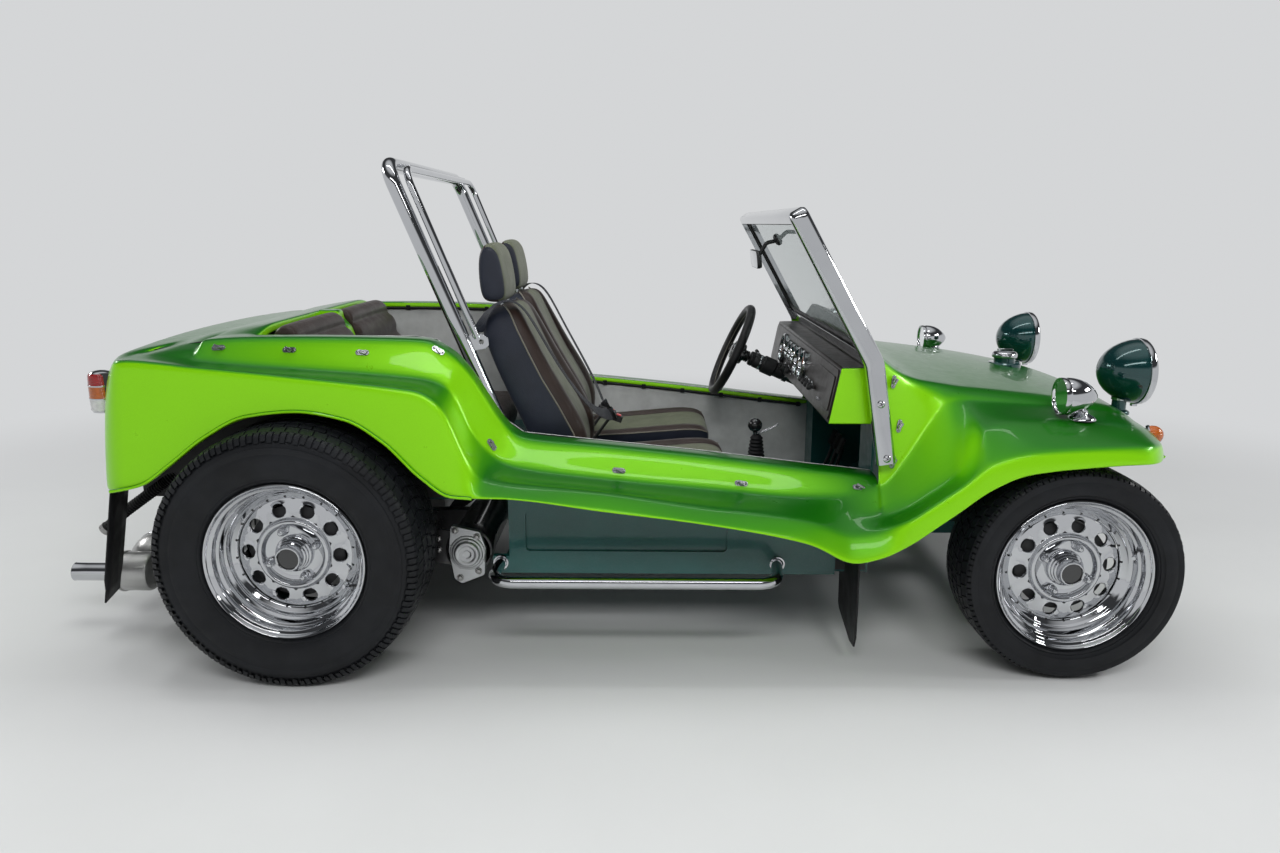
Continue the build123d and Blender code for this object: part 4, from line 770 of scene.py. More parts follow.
def rim(place, width, dish, hole_at, nut_at, valve_at):
    """Chromed steel rim: rolled flange, stepped barrel, pressed disc, nuts, valve and long cap."""
    lip = width / 2 - 14
    face = lip - dish
    barrel = [
        (lip - 12, 207), (lip - 5, 208), (lip, 206.5), (lip + 2, 203), (lip, 199.5), (lip - 5, 198),
        (lip - 9, 195), (lip - 11, 190), (lip - 14, 187), (lip - 28, 185.5), (lip - 31, 183), (lip - 33, 179),
        (lip - 36, 177), (lip - 50, 175.5), (lip - 54, 173), (lip - 57, 168), (lip - dish + 10, 165.5),
        (face + 5, 162), (face + 2, 157), (face - 1, 155), (face - 3, 151.5), (face - 1, DISC_OUT),
    ]
    form = Form().lathe(barrel, place, 96)
    back = [
        (face - 3, 168), (-lip + 60, 171), (-lip + 50, 186), (-lip + 12, 190), (-lip + 8, 206), (-lip, 208),
        (-lip, 196), (-lip + 14, 184),
    ]
    form.lathe(back, place, 72)
    form.join(wheel_disc(place, face, hole_at))
    ring = [
        (disc_height(DISC_IN, face), DISC_IN), (face + 4, 96.5), (face + 9, 95), (face + 13.5, 92),
        (face + 16, 88), (face + 15.5, 84), (face + 12, 80.5), (face + 6, 78.5), (face + 1, 77),
        (face - 1, 74), (face - 2, 60), (face - 2, 40),
    ]
    form.lathe(ring, place, 80)
    cap = [
        (face - 2, 49), (face + 4, 49), (face + 6, 47), (face + 12, 46.5), (face + 14, 43),
        (face + 21, 42.5), (face + 23, 39), (face + 31, 38.5), (face + 33, 35.5), (face + 42, 35),
        (face + 44, 33), (face + 50, 33), (face + 53, 31), (face + 53, 28.5), (face + 51, 27),
    ]
    form.lathe(cap, place, 56)
    form.lathe([(face + 51, 27), (face + 47, 26), (face + 47, 0.01)], place, 40, mark=1)
    for n in range(20):
        spot = place @ Matrix.Translation(spun(153, 2 * pi * n / 20 + 0.1, face - 0.5))
        form.lathe([(-1, 0.01), (1.2, 1.8), (0.6, 2.6), (-1, 3)], spot, 8, mark=1)
    for n in range(4):
        spot = place @ Matrix.Translation(spun(65, math.radians(nut_at + 90 * n), face - 2))
        nut = [
            (0, 12.5), (4, 12.5), (5, 10.6), (18, 10.2), (19, 9), (24, 8.6), (29, 6.5), (31, 3.5),
            (31.5, 0.01),
        ]
        form.lathe(nut, spot, 18)
    turn = math.radians(valve_at)
    start, end = spun(180, turn, lip - 48), spun(164, turn, lip - 22)
    form.tube([place @ start, place @ start.lerp(end, 0.35), place @ end], [5, 4, 4], 12, mark=1)
    form.tube([place @ start.lerp(end, 0.9), place @ start.lerp(end, 1.35)], 5.2, 12)
    return form


def tyre_carcass(place, radius, width):
    """Sidewalls with their rim guard, fine rings and shoulder, and the tread's groove floor."""
    half = width / 2
    mid = (radius + FLANGE) / 2
    side = [
        (half - 34, 192), (half - 27, 198), (half - 23, 206), (half - 17, 211), (half - 12, 213),
        (half - 10, 216), (half - 11, 219), (half - 8, 223), (half - 4, FLANGE + 24), (half - 1, mid - 22),
        (half, mid - 8), (half, mid + 8), (half - 0.6, mid + 9), (half - 0.6, mid + 12), (half, mid + 13),
        (half - 2, mid + 26), (half - 5, radius - 42), (half - 7, radius - 34), (half - 9, radius - 30),
        (half - 10, radius - 29), (half - 16, radius - 16), (half - 24, radius - 9.5),
        (half - 40, radius - 8), (half - 70, radius - 7.4), (0, radius - 7),
    ]
    inner = [(-a, r) for a, r in side[:-1]][::-1]
    return Form().lathe(side + inner, place, 120)


def tread(place, radius, width, pitches):
    """Five rows of tread blocks with sloping grooves, and the shoulder blocks that wrap over."""
    form = Form()
    half = width / 2
    ribs = [(-0.83, -0.53), (-0.49, -0.20), (-0.16, 0.16), (0.20, 0.49), (0.53, 0.83)]
    step = 2 * pi / pitches
    for n in range(pitches):
        for row, (low, high) in enumerate(ribs):
            shift = step * (0.5 if row % 2 else 0.0)
            skew = step * (0.22 if row < 2 else -0.22 if row > 2 else 0.3)
            start = n * step + shift
            points = []
            for level in (radius - 9, radius - 0.4):
                for share, side in ((0.06, 0), (0.5, 0), (0.94, 0), (0.94, 1), (0.5, 1), (0.06, 1)):
                    along = (low + (high - low) * side) * half
                    notch = 0.05 if share == 0.5 else 0.0
                    along += (half * notch if side == 0 else -half * notch) * (1 if row == 2 else 0.6)
                    crown = 2.6 * (along / half) ** 2 + (3.2 if abs(along) > 0.72 * half else 0)
                    turn = start + step * share + skew * side
                    points.append(place @ spun(level - crown, turn, along))
            faces = [[0, 1, 2, 3, 4, 5][::-1], [6, 7, 8, 9, 10, 11]]
            faces += [[i, (i + 1) % 6, (i + 1) % 6 + 6, i + 6] for i in range(6)]
            form.add(points, faces)
        for side in (1, -1):
            for part in (0, 1):
                start = n * step + (0.5 if side > 0 else 0) * step + part * step * 0.5
                deep = 4 if part else 0
                line = [(0.80, 5.2), (0.885, 9.5), (0.94, 17 + deep), (0.965, 29 - deep)]
                rows = []
                for lift in (-4.0, 0.0):
                    for share in (0.07, 0.43):
                        turn = start + step * share
                        rows.append([])
                        for a, down in line:
                            spot = spun(radius - down + lift, turn, side * (a * half + lift * 0.3))
                            rows[-1].append(place @ spot)
                low_a, low_b, top_a, top_b = rows
                form.grid([low_a, top_a, top_b, low_b])
    return form


def wheel_pieces():
    """The four wheels, each tyre and rim on its own body."""
    for end, x, y, radius, width, dish, hole_at, nut_at, valve_at, pitches in WHEELS:
        for side, sign in (("left", 1), ("right", -1)):
            x_axis = BACK if side == "left" else AHEAD
            place = facing((x, sign * y, radius), (0, sign, 0), x_axis)
            body = f"{end}_wheel_{side}"
            name = f"{end}_{side}"
            made = rim(place, width, dish, hole_at, nut_at, valve_at)
            made.make(
                f"rim_chrome_{name}", [CHROME, BLACK_GLOSS], body, "wheel_chrome", [f"rim_{name}"], sharp=50)
            walls = tyre_carcass(place, radius, width)
            walls.make(f"tyre_{name}_walls", TYRE, body, "tyre", [f"tyre_{name}"], sharp=50)
            tread(place, radius, width, pitches).make(f"tyre_{name}_tread", TYRE, body, "tyre", sharp=30)


wheel_pieces()


# Seats. Loops are closed sections that subdivision rounds into padding.
SEAT_MID, DRIVER_BACK = 258, 26
# Height up the back: front x z, rear x z, half width, how deep the middle panel sits.
BACK_STATIONS = [
    (724, 452, 622, 444, 170, 2), (750, 520, 606, 490, 186, 12), (744, 600, 590, 556, 192, 18),
    (694, 690, 562, 625, 193, 18), (645, 768, 524, 702, 191, 16), (606, 842, 490, 776, 184, 12),
    (574, 902, 460, 848, 172, 8), (552, 944, 438, 914, 154, 4), (524, 958, 448, 946, 126, 2),
]
# Along the cushion: x, bolster z, middle z, half width, underside z.
CUSHION_STATIONS = [
    (732, 478, 470, 176, 437), (766, 482, 474, 188, 436), (876, 490, 482, 191, 436),
    (976, 500, 492, 191, 436), (1066, 508, 502, 190, 437), (1118, 506, 500, 184, 439),
    (1146, 492, 487, 174, 444), (1156, 470, 466, 162, 450),
]
# Sections from the side, x and z.
HEADREST = [
    (440, 966), (432, 1010), (430, 1072), (437, 1110), (453, 1127), (472, 1125), (492, 1104), (503, 1052),
    (510, 1000), (508, 968), (489, 960), (464, 960),
]
BENCH_BACK = [
    (-52, 560), (-92, 640), (-112, 720), (-130, 790), (-138, 850), (-132, 884), (-114, 900), (-94, 904),
    (-72, 894), (-60, 874), (-66, 858), (-40, 846), (-26, 812), (-34, 784), (-8, 770), (6, 734), (-2, 706),
    (22, 694), (34, 654), (26, 626), (36, 600), (30, 566),
]
BENCH_CUSHION = [
    (42, 440), (40, 520), (60, 548), (110, 556), (140, 546), (170, 560), (220, 566), (250, 556), (280, 568),
    (330, 574), (360, 564), (392, 570), (420, 560), (430, 530), (428, 450), (390, 436), (80, 436),
]


def back_loop(station):
    """One closed section across a seat back: (front x z, rear x z, half width, panel depth)."""
    fx, fz, rx, rz, half, deep = station
    front, rear = Vector((fx, 0, fz)), Vector((rx, 0, rz))
    thick = (front - rear).length
    panel = 1 - deep / thick
    shape = [
        (panel, 0.0), (panel, 0.36), (panel - 0.01, 0.60), (panel - 0.01, 0.63), (0.97, 0.69), (1.0, 0.80),
        (0.96, 0.93), (0.76, 0.99), (0.70, 0.985), (0.40, 1.0), (0.05, 1.0), (-0.03, 0.95), (-0.03, 0.70),
        (-0.03, 0.0),
    ]
    left = [rear.lerp(front, a) + Vector((0, b * half, 0)) for a, b in shape]
    right = [rear.lerp(front, a) - Vector((0, b * half, 0)) for a, b in shape[1:-1]]
    return left + right[::-1]


def cushion_loop(station):
    """One closed section across a seat cushion."""
    x, top, middle, half, under = station
    rise = top - under
    shape = [
        (middle, 0.0), (middle, 0.36), (middle - 3, 0.62), (middle - 3, 0.65), (top - 3, 0.69), (top, 0.79),
        (top - 3, 0.91), (top - 0.18 * rise, 0.99), (top - 0.24 * rise, 0.99), (under + 0.4 * rise, 1.0),
        (under + 10, 0.98), (under, 0.92), (under - 1, 0.70), (under - 1, 0.0),
    ]
    left = [Vector((x, b * half, a)) for a, b in shape]
    right = [Vector((x, -b * half, a)) for a, b in shape[1:-1]]
    return left + right[::-1]


def padding(loops):
    """Closed loops joined into a pad, its middle panel and bolsters marked."""
    form = Form().grid(loops, around=True, ends=(0, 1))
    wide = len(loops[0])
    for n in range(wide * (len(loops) - 1)):
        side = min(n % wide, wide - 1 - n % wide)
        form.marks[n] = 2 if side < 2 else 1 if side < 7 else 0
    return form


def welt(loops):
    """The two welts along a pad, through the loops' points beside the middle panel."""
    form = Form()
    for column in (7, len(loops[0]) - 7):
        form.tube(rounded_path([loop[column] for loop in loops], 60, 5), 2.2, 8)
    return form


def stretched(outline, centre, stations):
    """A side outline carried across the car through stations of y and size."""
    middle = Vector((centre[0], 0, centre[1]))
    rows = []
    for y, size in stations:
        rows.append([middle + (Vector((x, 0, z)) - middle) * size + Vector((0, y, 0)) for x, z in outline])
    return Form().grid(rows, around=True, ends=(0, 0))


def slid(form):
    """Both seats from one, the driver's set a little further back on its runners."""
    form.both()
    for point in form.points:
        if point.y > 0:
            point.x -= DRIVER_BACK
    return form


def seat_pads(name, form, node):
    """One kind of pad on both seats, in its three leathers."""
    pads = slid(form).make(name, [NAVY, BROWN, OLIVE], slot="seat_leather", levels=2, stands_for=[node])


def seats():
    """Both front seats: bolstered back, cushion and headrest."""
    shift = Vector((0, SEAT_MID, 0))
    backs = [[p + shift for p in back_loop(s)] for s in BACK_STATIONS]
    cushions = [[p + shift for p in cushion_loop(s)] for s in CUSHION_STATIONS]
    half = [(0, 1.03), (60, 1.02), (100, 1.0), (113, 0.93), (117, 0.72)]
    stations = [(SEAT_MID - y, size) for y, size in half[:0:-1]] + [(SEAT_MID + y, size) for y, size in half]
    rest = stretched(HEADREST, (472, 1040), stations)
    wide = len(HEADREST)
    for n in range(wide, wide * (len(stations) - 2)):
        rest.marks[n] = 2 if 4 <= n % wide <= 9 else 1
    seat_pads("seat_back_pads", padding(backs), "seat_backs")
    seat_pads("seat_cushion_pads", padding(cushions), "seat_cushions")
    slid(welt(backs[1:]).join(welt(cushions[:-1]))).make("seat_welts", WELT, slot="seat_leather")
    seat_pads("headrest_pads", rest, "headrests")
    posts = Form()
    for y in (-60, 60):
        posts.tube([(490, SEAT_MID + y, 930), (482, SEAT_MID + y, 990)], 6, 12)
    slid(posts).make("headrest_posts", CHROME, slot="seat_leather")


def bench():
    """The rear bench: a channelled cushion and two channelled backs."""
    stations = [(36, 0.94), (44, 1.0), (90, 1.01), (248, 1.015), (410, 1.01), (456, 1.0), (464, 0.94)]
    form = stretched(BENCH_BACK, (-70, 760), stations).both()
    stations = [(-428, 0.94), (-418, 1.0), (-200, 1.01), (0, 1.01), (200, 1.01), (418, 1.0), (428, 0.94)]
    form.join(stretched(BENCH_CUSHION, (235, 500), stations))
    form.make("bench_pads", BROWN, slot="seat_leather", levels=2, stands_for=["rear_bench"])


seats()
bench()


# Cockpit fittings: dash, steering, lever, hand brake, pedals, belts, piping and fasteners.
DASH = [(1427, 812), (1398, 659), (1535, 659), (1535, 828), (1507, 814)]
DASH_Y = 606
DASH_UP = Vector((DASH[0][0] - DASH[1][0], 0, DASH[0][1] - DASH[1][1])).normalized()
DASH_OUT = Vector((-DASH_UP.z, 0, DASH_UP.x))
# Gauges on the dash: y, z, radius, needle turn in degrees. Then the knobs: y, z.
GAUGES = [
    (330, 742, 48, 130), (222, 752, 28, 40), (152, 752, 28, 200), (82, 752, 28, 70), (-16, 742, 42, 250),
    (-104, 742, 42, 20),
]
KNOBS = [(222, 694), (152, 694), (82, 694), (-190, 712), (-240, 712), (-290, 712), (-340, 712)]


def on_dash(y, z, out=0.0):
    """A place on the dash's face, z toward the driver and x up the face."""
    spot = Vector((DASH[0][0], y, DASH[0][1])) - DASH_UP * (DASH[0][1] - z) / DASH_UP.z
    return facing(spot + DASH_OUT * out, DASH_OUT, DASH_UP)


def dashboard():
    """The lime dash box with its dark polished face, gauges, knobs and plain flap."""
    n = len(DASH)
    form = Form()
    ends = [[(x, side * DASH_Y, z) for x, z in DASH] for side in (-1, 1)]
    form.add(ends[0] + ends[1], [list(range(n)), list(range(n, 2 * n))])
    form.add(ends[0] + ends[1], [[i, (i + 1) % n, (i + 1) % n + n, i + n] for i in range(n)], 1)
    form.make("dash_box", [PAINT, DASH_DARK], slot="dash_gloss", bevel=5.0, stands_for=["dashboard"])
    face = Form().plate(rounded_outline(138, 2 * DASH_Y - 18, 16), on_dash(0, 736), 3)
    flap = Form().plate(rounded_outline(96, 250, 8), on_dash(-455, 736, 3), 3)
    face.join(flap).make("dash_face", DASH_DARK, slot="dash_gloss", bevel=1.2)
    bright, dials, marks = Form(), Form(), Form()
    for y, z, r, needle in GAUGES:
        place = on_dash(y, z, 3)
        bright.lathe([(0, r + 5), (7, r + 5), (11, r + 2), (12, r - 1), (9, r - 3), (3, r - 4)], place, 48)
        dials.lathe([(3, r - 4), (3, 0.01)], place, 40)
        dials.lathe([(3, 4), (6, 4), (6.5, 3), (6.5, 0.01)], place, 16)
        for k in range(0, 271, 30 if r < 40 else 15):
            spot = place @ Matrix.Rotation(math.radians(k - 135), 4, "Z")
            long = 0.16 if k % 30 == 0 else 0.09
            marks.box((r * (0.84 - long), -0.6, 3.2), (r * 0.84, 0.6, 3.7), 0, spot)
        hand = [(-4, -1.2), (r * 0.66, -0.4), (r * 0.66, 0.4), (-4, 1.2)]
        spot = place @ Matrix.Rotation(math.radians(needle), 4, "Z") @ Matrix.Translation((0, 0, 5))
        marks.plate(hand, spot, 0.8, 1)
    for y, z in KNOBS:
        place = on_dash(y, z, 3)
        bright.lathe([(0, 12), (2, 12), (3, 10), (3, 5)], place, 24)
        dials.lathe([(2, 4), (10, 4), (11, 9), (14, 10), (21, 9.5), (24, 6), (24, 0.01)], place, 20)
    bright.tube([on_dash(-455 + s, 700, 10).translation for s in (-16, 0, 16)], 4, 12)
    bright.make("dash_bezels", CHROME, slot="dash_gloss")
    dials.make("dash_dials", BLACK_PLASTIC, slot="dash_gloss")
    marks.make("dash_marks", [DIAL_WHITE, DIAL_ORANGE], slot="dash_gloss")


WHEEL_HUB, COLUMN_TILT = Vector((1220, 330, 736)), math.radians(24)
COLUMN_DOWN = Vector((math.cos(COLUMN_TILT), 0, -math.sin(COLUMN_TILT)))
WHEEL_UP = Vector((math.sin(COLUMN_TILT), 0, math.cos(COLUMN_TILT)))


def framed(outer, inner, place, thick, mark=0):
    """A flat plate with one opening. Both outlines have the same number of points."""
    lines = ((outer, 0), (outer, thick), (inner, thick), (inner, 0))
    rows = [[place @ Vector((a, b, z)) for a, b in line] for line, z in lines]
    return Form().grid(rows, around=True, along=True, mark=mark)


def steering_wheel():
    """Leather rim with its stitched seam, three slotted spokes and a plain horn button."""
    place = facing(WHEEL_HUB, -COLUMN_DOWN, WHEEL_UP)
    form = Form()
    ring, stitch = [], []
    for k in range(16):
        turn = 2 * pi * k / 16
        flat = 1.0 if math.cos(turn) > -0.3 else 0.93
        ring.append((16 * math.sin(turn), 159.5 + 16 * flat * math.cos(turn)))
    form.lathe(ring, place, 96, closed=True)
    for k in range(8):
        turn = 2 * pi * k / 8
        stitch.append((1.3 * math.sin(turn), 144.2 + 1.3 * math.cos(turn)))
    form.lathe(stitch, place, 96, mark=3, closed=True)
    for turn in (90, 180, 270):
        spoke = place @ Matrix.Rotation(math.radians(turn), 4, "Z") @ Matrix.Translation((92, 0, -12))
        spoke = spoke @ Matrix.Rotation(math.radians(-7), 4, "Y") @ Matrix.Translation((0, 0, -2))
        form.join(framed(rounded_outline(126, 34, 5), rounded_outline(80, 13, 6), spoke, 4, 1))
    hub = [
        (-66, 12), (-66, 20), (-62, 22), (-59, 19.5), (-56, 22), (-53, 19.5), (-50, 22), (-46, 22), (-45, 35),
        (-42, 38), (-14, 38), (-8, 37), (-6, 34), (-5, 28),
    ]
    form.lathe(hub, place, 48, mark=1)
    form.lathe([(-5, 29), (-1, 29), (1, 27), (1, 25), (-2, 24)], place, 40, mark=2)
    form.lathe([(-2, 24), (0, 23), (3, 18), (4.5, 9), (5, 0.01)], place, 32, mark=1)
    for k in range(6):
        spot = place @ Matrix.Rotation(k * pi / 3 + 0.3, 4, "Z") @ Matrix.Translation((33, 0, -7))
        form.lathe([(0, 3.4), (3, 3.4), (3.6, 2.4), (3.6, 0.01)], spot, 12, mark=2)
    form.make(
        "wheel_rim_spokes", [HIDE, BLACK_GLOSS, CHROME, WELT], "steering_wheel", "wheel_rim_cover",
        ["steering_wheel"], bevel=0.6)


def steering_column():
    """The column's jacket with switch, stalk and clamp, its jointed shaft and the box on the beam."""
    place = facing(WHEEL_HUB, COLUMN_DOWN, WHEEL_UP)
    form = Form()
    jacket = [
        (71, 12), (71, 23), (73, 26), (84, 27), (88, 25), (92, 27), (122, 27), (126, 32), (168, 32),
        (173, 27), (205, 27), (207, 24), (328, 24), (330, 20), (330, 11),
    ]
    form.lathe(jacket, place, 48)
    form.lathe([(108, 27), (109, 28.4), (115, 28.4), (116, 27)], place, 48, mark=1)
    switch = place @ Matrix.Translation((0, 0, 146))
    switch = switch @ Matrix.Rotation(pi / 2, 4, "X") @ Matrix.Rotation(0.35, 4, "Y")
    form.lathe([(28, 12), (37, 12), (39, 10), (39, 7)], switch, 28, mark=1)
    form.lathe([(38, 7), (38, 0.01)], switch, 20)
    form.box((-1, -5, 38), (1, 5, 46), 1, switch)
    stalk = [place @ Vector(p) for p in ((10, -18, 132), (16, -60, 126), (22, -128, 108))]
    form.tube(rounded_path(stalk, 40, 5), 3.4, 12, mark=1)
    form.tube([stalk[2].lerp(stalk[1], s) for s in (0.12, -0.12, -0.2)], [6, 6.6, 3.5], 14)
    form.lathe([(210, 23), (210, 29), (226, 29), (226, 23)], place, 40, mark=2)
    form.box((1392, 296, 668), (1440, 364, 674), 2)
    for y in (304, 356):
        form.tube([(1414, y, 640), (1414, y, 670)], 5, 10, mark=2)
        form.lathe([(0, 8), (5, 8), (6, 6), (6, 0.01)], facing((1414, y, 646), DOWN), 6, mark=1)
    shaft = [
        (330, 11), (560, 11), (561, 16), (568, 19), (588, 19), (594, 12), (604, 12), (610, 19), (630, 19),
        (637, 16), (638, 11), (926, 11),
    ]
    form.lathe(shaft, place, 32, mark=3)
    for turn in (0, pi / 2):
        spin = place @ Matrix.Rotation(turn, 4, "Z")
        form.tube([spin @ Vector((s, 0, 599)) for s in (-20, 20)], 5.5, 12, mark=1)
    form.box((2066, 294, 308), (2160, 366, 384), 4)
    form.plate(rounded_outline(84, 62, 10), facing((2113, 330, 384), UP), 6, 4)
    for dx in (-33, 33):
        for dy in (-22, 22):
            spot = facing((2113 + dx, 330 + dy, 389.5), UP)
            form.lathe([(0, 6), (4, 6), (5, 4.5), (5, 0.01)], spot, 6, mark=1)
    form.lathe([(288, 22), (308, 26)], facing((2100, 330, 0), UP), 32, mark=4)
    materials = [BLACK_PLASTIC, CHROME, BLACK, STEEL, ENGINE]
    form.make("column_and_box", materials, slot="chassis_black", bevel=1.5, stands_for=["steering_column"])


def gear_lever():
    """Ball-topped lever in its bellows with a wire loop, and the hand brake with its grip and button."""
    form = Form()
    bellows = [(381, 36), (384, 36)]
    for k in range(9):
        r = 34 - 1.5 * k
        bellows += [(387 + 12 * k, r), (393 + 12 * k, r - 5.5)]
    form.lathe(bellows + [(493, 14), (496, 9)], facing((1280, 0, 0), UP), 36)
    form.lathe([(381, 44), (383.5, 44), (385, 42), (385, 33)], facing((1282, 0, 0), UP), 40, mark=1)
    form.tube(rounded_path([(1282, 0, 430), (1281, 0, 462), (1274, 0, 508)], 60, 4), 7.5, 16, mark=1)
    turns = [pi * k / 14 for k in range(1, 14)]
    ball = [(-24 * math.cos(turn), 24 * math.sin(turn)) for turn in turns]
    form.lathe([(-23.99, 0.01)] + ball + [(24, 0.01)], facing((1274, 0, 527), UP), 36, mark=2)
    loop = [(1280, 6, 498), (1318, 8, 512), (1350, 5, 530), (1350, -5, 530), (1318, -8, 512), (1280, -6, 498)]
    form.tube(rounded_path(loop, 5, 4), 2.2, 10, mark=1)
    start, end = Vector((1080, 0, 396)), Vector((930, 0, 451))
    form.tube([start, start.lerp(end, 0.42)], 9, 18, mark=1)
    grip = [start.lerp(end, s) for s in (0.4, 0.43, 0.5, 0.6, 0.7, 0.8, 0.9, 0.96)]
    form.tube(grip, [10, 12, 11, 12, 11, 12, 12, 9.5], 20)
    form.tube([start.lerp(end, 0.95), start.lerp(end, 1.0)], 5, 14, mark=1)
    for y in (-15, 11):
        cheek = [(1058, 381), (1122, 381), (1114, 400), (1096, 407), (1070, 405)]
        form.plate(cheek, facing((0, y + 4, 0), (0, -1, 0), AHEAD), 4)
    form.tube([(1084, -19, 396), (1084, 19, 396)], 5, 12, mark=1)
    form.make(
        "levers", [RUBBER, CHROME, BLACK_GLOSS], slot="lever_black", bevel=0.6, stands_for=["gear_lever"])


def pedals():
    """Three hung pads with ribbed rubbers on their cross shaft."""
    form = Form()
    form.tube([(1560, 184, 250), (1560, 392, 250)], 9, 20)
    form.box((1546, 181, 240), (1574, 199, 252))
    for y in (365, 290, 215):
        form.tube(rounded_path([(1560, y, 250), (1596, y, 330), (1616, y, 398)], 60, 5), 6.5, 14)
        form.tube([(1560, y - 13, 250), (1560, y + 13, 250)], 14, 24)
        spot = facing((1610, y, 405), (-0.93, 0, 0.37), OUT)
        form.plate(rounded_outline(46, 60, 8), spot @ Matrix.Translation((0, 0, -3)), 4)
        form.plate(rounded_outline(44, 58, 8), spot @ Matrix.Translation((0, 0, 1)), 4, 1)
        for k in range(6):
            form.box((-18, -23 + 8 * k, 5), (18, -18.5 + 8 * k, 7.5), 1, spot)
    form.make("pedal_pads", [BLACK, RUBBER], slot="chassis_black", bevel=0.8, stands_for=["pedals"])


def strap(path, faces, width):
    """A ribbon of webbing along a path, each point with the way that its flat side looks."""
    half, thick = width / 2, 2.4
    shape = [(-half, 0), (-half, thick), (-half / 2, 3), (half / 2, 3), (half, thick), (half, 0)]
    rows = []
    for i, here in enumerate(path):
        ahead = (path[min(i + 1, len(path) - 1)] - path[max(i - 1, 0)]).normalized()
        out = (faces[i] - ahead * faces[i].dot(ahead)).normalized()
        side = ahead.cross(out)
        rows.append([here + side * a + out * b for a, b in shape])
    return Form().grid(rows, around=True, ends=(0, 0))


def belts():
    """Dark blue webbing from a guide on the hoop over each seat back to its buckle between the seats."""
    ahead, up, out = (0.83, 0, 0.55), (-0.2, 0.1, 1), (0.5, 0.3, 0.8)
    route = [
        ((438, 440, 880), out), ((458, 428, 930), up), ((496, 410, 970), up),
        ((546, 400, 968), (0.5, 0, 0.9)), ((584, 394, 916), ahead), ((628, 384, 830), ahead),
        ((676, 366, 746), ahead), ((724, 322, 668), ahead), ((762, 230, 612), ahead),
        ((784, 130, 586), (0.9, -0.2, 0.4)), ((796, 62, 574), (0.8, -0.5, 0.3)),
    ]
    web = strap([Vector(spot) for spot, _ in route], [Vector(face) for _, face in route], 46)
    slid(web).make("belt_webbing", BELT, slot="seat_leather", levels=2)
    parts = Form()
    stalk = [Vector((720, 40, 440)), Vector((748, 40, 500)), Vector((792, 44, 560))]
    parts.tube(rounded_path(stalk, 60, 4), 5, 12)
    buckle = facing((797, 46, 566), (0.35, 0, 0.94), (0.94, 0, -0.35))
    parts.plate(rounded_outline(62, 30, 6), buckle @ Matrix.Translation((6, 0, -10)), 20)
    parts.plate(rounded_outline(16, 20, 4), buckle @ Matrix.Translation((22, 0, 10)), 3, 2)
    tongue = facing((796, 60, 575), (0.8, -0.5, 0.3), (0, 1, 0.1)) @ Matrix.Translation((0, 0, 3))
    parts.plate(rounded_outline(40, 46, 5), tongue, 3, 1)
    guide = facing((434, 446, 872), (0.55, -0.35, 0.75), (0, 1, 0.4))
    parts.join(framed(rounded_outline(64, 26, 8), rounded_outline(48, 8, 3.5), guide, 4, 1))
    parts.tube([(422, 468, 862), (432, 450, 868)], 6, 12, mark=1)
    slid(parts).make("belt_buckles", [BLACK_PLASTIC, CHROME, BUTTON_RED], slot="seat_leather", bevel=1.0)


def piping():
    """Black piping along each liner's top edge with its small clips."""
    xs = spaced([-330, 0, 290, 345, 390, 440, 490, 530, 575, 1060, 1510], 40)
    rail = side_curves[0]
    path = [Vector((x, RAIL_IN - 11, rail(x) - 23)) for x in xs]
    form = Form().tube(path, 4.5, 10)
    for x in [-300 + 150 * k for k in range(13)]:
        if not 330 < x < 560:
            spot = facing((x, RAIL_IN - 12, rail(x) - 21), (0, -1, 0), AHEAD)
            form.plate(rounded_outline(16, 17, 3), spot, 5)
    form.both().make("liner_piping", RUBBER, slot="liner_cloth", bevel=0.8)


# Turn fasteners on the rail's outer face: x and how far down the face.
SNAPS = [
    (-215, 0.40), (-28, 0.42), (164, 0.42), (362, 0.18), (500, 0.78), (839, 0.70), (1168, 0.72), (1485, 0.72),
]
# More of them on the cowl's side beside the screen's foot: x and z.
COWL_SNAPS = [(1572, 560), (1567, 774), (1588, 655)]


def turn_snap(place, form):
    """An oval chromed plate with its turning bar, x along the oval."""
    form.plate(rounded_outline(36, 15, 7.4, 6), place, 2.2)
    form.lathe([(2, 5.5), (7, 5), (8, 3.5)], place, 16)
    bar = place @ Matrix.Translation((0, 0, 7)) @ Matrix.Rotation(0.5, 4, "Z")
    form.plate(rounded_outline(20, 6, 2.8, 4), bar, 5)
    for side in (-13, 13):
        form.lathe([(2, 3.4), (4, 2.8), (4.6, 0.01)], place @ Matrix.Translation((side, 0, 0)), 12)


def snaps():
    """The turn fasteners along both rails and beside the screen."""
    form = Form()
    for x, share in SNAPS:
        rail, ridge = side_curves[0](x), side_curves[1](x)
        slope = Vector((0, RIDGE_Y - RAIL_OUT, ridge - rail))
        along = Vector((20, 0, side_curves[0](x + 10) - side_curves[0](x - 10)))
        out = along.cross(slope)
        out = out if out.y > 0 else -out
        spot = Vector((x, RAIL_OUT, rail)) + slope * share + out.normalized() * 0.5
        turn_snap(facing(spot, out, along), form)
    for x, z in COWL_SNAPS:
        y = cowl_side(x, z)
        out = Vector((y - cowl_side(x + 1, z), 1, y - cowl_side(x, z + 1))).normalized()
        turn_snap(facing(Vector((x, y, z)) + out, out, (0.25, 0, 1)), form)
    form.both().make("turn_snaps", SNAP, slot="body_paint", bevel=0.5)


dashboard()
steering_wheel()
steering_column()
gear_lever()
pedals()
belts()
piping()
snaps()


# Bright work: roll bar, step tubes, screen, lamps, mirrors and filler.
ROLL_TOP_X, ROLL_TOP_Z, ROLL_Y, ROLL_R, STAY_R = 212, 1337, 480, 20.5, 10


